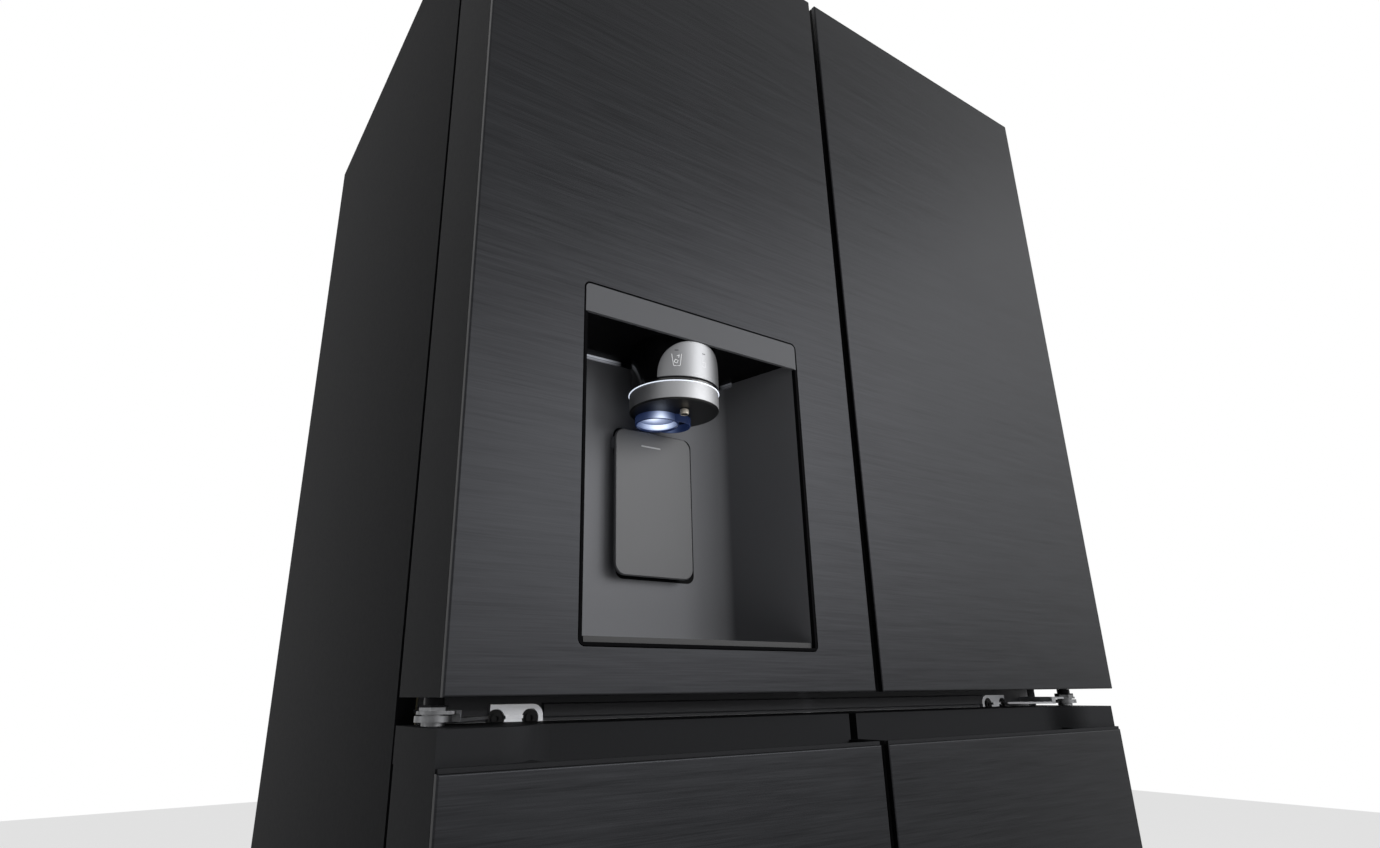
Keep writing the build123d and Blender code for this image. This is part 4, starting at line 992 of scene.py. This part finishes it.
def seal_pattern(settings):
    """A door seal: a pleated tube that follows a rounded rectangle standing in the XZ plane."""
    tree = Pattern("door_seal", {"Width": 0.4, "Height": 0.8, "Corner": 0.012, "Band": 0.013, "Depth": 0.004,
                                 "Pleat": settings.seal_pleat})
    sockets = {"Width": tree.size("Width"), "Height": tree.size("Height")}
    path = tree.out("GeometryNodeCurvePrimitiveQuadrilateral", sockets)
    rounding = {"Curve": path, "Radius": tree.size("Corner"), "Count": 8}
    path = tree.out("GeometryNodeFilletCurve", rounding, mode="POLY")
    loop = {"Resolution": 48, "Radius": 1.0}
    profile = tree.out("GeometryNodeCurvePrimitiveCircle", loop, mode="RADIUS")
    around = tree.node("ShaderNodeSeparateXYZ", {0: tree.out("GeometryNodeInputPosition")})
    cosine = Num(tree, around.outputs[0])
    sine = Num(tree, around.outputs[1])
    squared = cosine.math("ABSOLUTE") ** 0.35 * cosine.math("SIGN")
    flat = sine.math("ABSOLUTE") ** 0.45 * sine.math("SIGN")
    ripple = (cosine * 9.0).math("SINE") * tree.size("Pleat") * flat
    across = squared * tree.size("Band") * 0.5
    deep = flat * tree.size("Depth") * 0.5 - ripple
    target = tree.vector(across, deep)
    moved = {"Geometry": profile, "Position": target}
    profile = tree.out("GeometryNodeSetPosition", moved)
    tube = tree.out("GeometryNodeCurveToMesh", {"Curve": path, "Profile Curve": profile})
    standing = tree.shifted(tube, turn=(math.pi / 2, 0, 0))
    tree.end(standing, finishes["gasket_rubber"])
    return tree


class FRIDGE_OT_seals(bpy.types.Operator):
    """Makes the four magnetic door seals"""
    bl_idname = "fridge.seals"
    bl_label = "Door seals"

    def execute(self, context):
        settings = settings_of(context)
        tree = seal_pattern(settings)
        band = 13.4 * MM
        for door in ("upper_left", "upper_right", "lower_left", "lower_right"):
            low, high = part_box(door + "_gasket")
            centre = (low + high) / 2
            sizes = {"Width": high.x - low.x - band, "Height": high.z - low.z - band,
                     "Band": band, "Depth": high.y - low.y - 2 * settings.seal_pleat}
            mesh = tree.baked(sizes, centre)
            seal = piece_of(door + "_seal", mesh, "gasket_rubber", door + "_door", smooth=60.0)
            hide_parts(door + "_gasket")
        return {"FINISHED"}


def fin_pattern():
    """A fin-and-tube pack: thin plates in a row along X, tubes through them and a plate at each end."""
    tree = Pattern("fin_pack", {"Length": 0.2, "Depth": 0.1, "Height": 0.1, "Fins": 60, "Thickness": 0.0003,
                                "Tube": 0.004, "Rows": 4})
    plate_size = tree.vector(tree.size("Thickness"), tree.size("Depth"), tree.size("Height"))
    plate = tree.out("GeometryNodeMeshCube", {"Size": plate_size})
    run = tree.size("Length") - tree.size("Tube") * 6.0
    step = run * (tree.size("Fins") - 1) ** -1.0
    fins = tree.row(plate, tree.size("Fins"), tree.vector(step))
    fins = tree.shifted(fins, place=tree.vector(run * -0.5))
    pitch = tree.size("Height") * tree.size("Rows") ** -1.0
    reach = tree.size("Length") - tree.size("Tube") * 4.0
    sockets = {"Vertices": 12, "Radius": tree.size("Tube"), "Depth": reach}
    tube = tree.node("GeometryNodeMeshCylinder", sockets).outputs["Mesh"]
    tube = tree.shifted(tube, turn=(0, math.pi / 2, 0))
    tubes = tree.row(tube, tree.size("Rows"), tree.vector(z=pitch))
    tubes = tree.shifted(tubes, place=tree.vector(z=(tree.size("Height") - pitch) * -0.5))
    parts = [fins]
    for side in (-1, 1):
        parts.append(tree.shifted(tubes, place=tree.vector(y=tree.size("Depth") * 0.24 * side)))
    frame_size = tree.vector(tree.size("Thickness") * 4.0, tree.size("Depth"), tree.size("Height"))
    end_plate = tree.out("GeometryNodeMeshCube", {"Size": frame_size})
    for side in (-1, 1):
        parts.append(tree.shifted(end_plate, place=tree.vector(run * 0.5 * side)))
    tree.end(tree.joined(*parts), finishes["coil_metal"])
    return tree


class FRIDGE_OT_fins(bpy.types.Operator):
    """Makes the fin packs of the condenser and the evaporator"""
    bl_idname = "fridge.fins"
    bl_label = "Fin packs"

    def execute(self, context):
        settings = settings_of(context)
        tree = fin_pattern()
        for node, rows in (("condenser", 5), ("evaporator", 12)):
            low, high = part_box(node)
            size = high - low
            sizes = {"Length": size.x, "Depth": size.y, "Height": size.z, "Rows": rows,
                     "Fins": int(size.x / settings.fin_pitch), "Thickness": settings.fin_thickness}
            pack = piece_of(node + "_pack", tree.baked(sizes, (low + high) / 2), "coil_metal", "cabinet")
            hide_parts(node)
        return {"FINISHED"}


def screw_pattern():
    """Pan-head screws along a rectangle that stands in the XZ plane, heads to the back."""
    tree = Pattern("panel_screws", {"Width": 0.8, "Height": 1.4, "Spacing": 0.18, "Radius": 0.004,
                                    "Rise": 0.0018})
    sockets = {"Width": tree.size("Width"), "Height": tree.size("Height")}
    path = tree.out("GeometryNodeCurvePrimitiveQuadrilateral", sockets)
    sockets = {"Curve": path, "Length": tree.size("Spacing")}
    points = tree.node("GeometryNodeCurveToPoints", sockets, mode="LENGTH").outputs["Points"]
    sockets = {"Vertices": 20, "Radius Top": tree.size("Radius") * 0.62, "Radius Bottom": tree.size("Radius"),
               "Depth": tree.size("Rise")}
    head = tree.node("GeometryNodeMeshCone", sockets).outputs["Mesh"]
    facing = tree.node("ShaderNodeSeparateXYZ", {0: tree.out("GeometryNodeInputNormal")})
    top = Num(tree, facing.outputs[2]).math("GREATER_THAN", 0.9)
    sockets = {"Mesh": head, "Selection": top, "Offset Scale": 0.0}
    inset = tree.node("GeometryNodeExtrudeMesh", sockets, mode="FACES").outputs
    sockets = {"Geometry": inset["Mesh"], "Selection": inset["Top"], "Scale": 0.5}
    drawn = tree.out("GeometryNodeScaleElements", sockets)
    sockets = {"Mesh": drawn, "Selection": inset["Top"], "Offset Scale": tree.size("Rise") * -0.6}
    head = tree.node("GeometryNodeExtrudeMesh", sockets, mode="FACES").outputs["Mesh"]
    heads = tree.out("GeometryNodeInstanceOnPoints", {"Points": points, "Instance": head})
    tree.end(tree.shifted(heads, turn=(-math.pi / 2, 0, 0)), finishes["hinge_steel"])
    return tree


class FRIDGE_OT_screws(bpy.types.Operator):
    """Makes the row of screws round the rear panel"""
    bl_idname = "fridge.screws"
    bl_label = "Rear panel screws"

    def execute(self, context):
        settings = settings_of(context)
        tree = screw_pattern()
        edge = 14.0 * MM
        centre = (panel_low + panel_high) / 2
        face = panel_high.y - 6.0 * MM
        size = panel_high - panel_low
        sizes = {"Width": size.x - 2 * edge, "Height": size.z - 2 * edge,
                 "Spacing": settings.screw_pitch, "Radius": settings.screw_radius}
        mesh = tree.baked(sizes, Vector((centre.x, face, centre.z)))
        piece_of("rear_panel_screws", mesh, "hinge_steel", "cabinet")
        return {"FINISHED"}


# ------------------------------------------------------------------ finishes on the frame

class FRIDGE_OT_finishes(bpy.types.Operator):
    """Makes every finish and gives it to the frame's own pieces"""
    bl_idname = "fridge.finishes"
    bl_label = "Finishes"

    def execute(self, context):
        settings = settings_of(context)
        finishes.update(all_finishes(settings))
        finishes["ring_black"] = moulded("ring_black_moulding", SOFT_BLACK, 0.36)
        finishes["ring_light"] = lit_finish("ring_light_diffuser", settings.light_colour, 1.0)
        finishes["chute_lamp"] = chute_finish("chute_lamp_diffuser", settings.light_strength,
                                              settings.light_colour, 1.0)
        finishes["icon_light"] = lit_finish("icon_print", (0.8, 0.82, 0.85), 0.35)
        finishes["icon_faint"] = brushed("icon_etch", (0.27, 0.273, 0.28), 0.46, width=0.0004, stroke=0.001)
        finishes["strip"] = strip_painted_light_finish()
        finishes["plate"] = brushed("face_plate_satin", (0.20, 0.203, 0.210), 0.44, width=0.0005,
                                    stroke=0.002, contrast=0.08, relief=0.000004)
        finishes["mark"] = moulded("mark_print", (0.36, 0.363, 0.37), 0.45)
        # Black of the painted shadow behind the paddle.
        finishes["pocket"] = moulded("pocket_moulding", (0.003, 0.003, 0.0033), 0.6, specular=0.05)
        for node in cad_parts.values():
            slot = node.data.materials[0].name
            if slot not in finishes:
                raise RuntimeError("no finish for the slot " + slot)
            node.data.materials[0] = finishes[slot].material
        return {"FINISHED"}


# ------------------------------------------------------------------ stage

def add_area(name, place, target, size, power, tint=(1, 1, 1)):
    lamp = bpy.data.lights.new(name, "AREA")
    lamp.shape = "RECTANGLE"
    lamp.size, lamp.size_y = size
    lamp.energy = power
    lamp.color = tint
    lit = bpy.data.objects.new(name, lamp)
    lit.location = place
    lit.rotation_euler = (Vector(target) - Vector(place)).to_track_quat("-Z", "Y").to_euler()
    lit.visible_camera = False
    bpy.context.scene.collection.objects.link(lit)


def seen_rays(nodes):
    """1 for rays of the camera, of reflections and through clear pieces, 0 for all others."""
    rays = nodes.node("ShaderNodeLightPath").outputs
    seen = Num(nodes, rays["Is Camera Ray"]).math("MAXIMUM", rays["Is Glossy Ray"])
    return seen.math("MAXIMUM", rays["Is Transmission Ray"])


class FRIDGE_OT_stage(bpy.types.Operator):
    """Makes the floor, the soft lights, the pale surroundings and the camera"""
    bl_idname = "fridge.stage"
    bl_label = "Stage"

    def execute(self, context):
        settings = settings_of(context)
        self.add_floor(settings)
        self.add_world(context.scene)
        add_area("side_light", (1.975, -2.211, 2.0), (0.0, -0.37, 1.25), (1.6, 1.8), settings.side_power)
        add_area("key_light", (1.099, -2.726, 1.8), (0.0, -0.37, 1.25), (1.4, 1.4), settings.key_power)
        add_area("fill_light", (0.0, -2.97, 1.6), (0.0, -0.37, 1.2), (1.4, 1.4), settings.fill_power)
        add_area("left_light", (-3.1, 0.1, 1.4), (-0.45, 0.0, 1.0), (1.4, 1.6), settings.rear_power * 0.12)
        add_area("rear_light", (0.9, 3.3, 2.1), (0.0, 0.37, 1.0), (1.8, 1.8), settings.rear_power * 0.5)
        add_area("top_light", (0.0, 0.25, 3.4), (0.0, 0.25, 1.8), (0.7, 0.9), settings.key_power * 0.6)
        self.add_camera(context.scene)
        context.scene.view_settings.view_transform = "Standard"
        return {"FINISHED"}

    def add_floor(self, settings):
        bm = bmesh.new()
        bmesh.ops.create_grid(bm, x_segments=8, y_segments=8, size=7.0)
        mesh = bpy.data.meshes.new("floor")
        bm.to_mesh(mesh)
        bm.free()
        floor = bpy.data.objects.new("floor", mesh)
        bpy.context.scene.collection.objects.link(floor)
        made = Finish("floor_paint", specular_ior_level=0.1)
        dust = made.noise(3.0, 4.0)
        made.shades(dust, settings.floor_colour, 0.97, 1.0)
        made.varies("Roughness", dust * 0.1 + 0.7)
        white = made.out("ShaderNodeEmission", {"Color": (1, 1, 1, 1), "Strength": 1.0})
        white_share = seen_rays(made) * 0.72
        mixed = made.out("ShaderNodeMixShader", {0: white_share, 1: made.shader.outputs[0], 2: white})
        made.feed(made.output.inputs["Surface"], mixed)
        mesh.materials.append(made.material)

    def add_world(self, scene):
        """White to the camera and in reflections; dim for everything that the world lights."""
        world = bpy.data.worlds.new("surroundings")
        world.use_nodes = True
        scene.world = world
        nodes = Nodes(world.node_tree)
        nodes.tree.nodes.clear()
        dim = 0.07
        bright = seen_rays(nodes) * (1 - dim) + dim
        sky = nodes.out("ShaderNodeBackground", {"Color": (1, 1, 1, 1), "Strength": bright})
        nodes.node("ShaderNodeOutputWorld", {"Surface": sky})

    def add_camera(self, scene):
        place = Vector((-0.6512, -0.9322, 0.8691))
        yaw = math.radians(33.634)
        pitch = math.radians(18.642)
        roll = math.radians(-0.578)
        camera = bpy.data.cameras.new("camera")
        camera.lens = 20.094
        camera.sensor_width = 36.0
        camera.shift_x = 0.029
        camera.shift_y = 0.005
        camera.clip_start = 0.02
        seat = bpy.data.objects.new("camera", camera)
        turn = Euler((math.pi / 2 + pitch, 0.0, -yaw), "XYZ").to_matrix().to_4x4()
        seat.matrix_world = Matrix.Translation(place) @ turn @ Matrix.Rotation(roll, 4, "Z")
        scene.collection.objects.link(seat)
        scene.camera = seat


# ------------------------------------------------------------------ add-on

STEPS = ("finishes", "ring", "head", "spout", "marks", "seals", "fins", "screws", "stage")


class FRIDGE_PT_panel(bpy.types.Panel):
    """Lists the settings and the steps that make the refrigerator's looks"""
    bl_idname = "FRIDGE_PT_panel"
    bl_label = "Refrigerator"
    bl_space_type = "VIEW_3D"
    bl_region_type = "UI"
    bl_category = "Refrigerator"

    def draw(self, context):
        for name in FridgeSettings.__annotations__:
            self.layout.prop(settings_of(context), name)
        for step in STEPS:
            self.layout.operator("fridge." + step)


CLASSES = (FridgeSettings, FRIDGE_OT_finishes, FRIDGE_OT_ring, FRIDGE_OT_head, FRIDGE_OT_spout,
           FRIDGE_OT_marks, FRIDGE_OT_seals, FRIDGE_OT_fins, FRIDGE_OT_screws, FRIDGE_OT_stage,
           FRIDGE_PT_panel)


def register():
    for made in CLASSES:
        bpy.utils.register_class(made)
    bpy.types.Scene.fridge = bpy.props.PointerProperty(type=FridgeSettings)


def unregister():
    del bpy.types.Scene.fridge
    for made in reversed(CLASSES):
        bpy.utils.unregister_class(made)


def main():
    register()
    for step in STEPS:
        getattr(bpy.ops.fridge, step)()


if __name__ == "__main__":
    main()
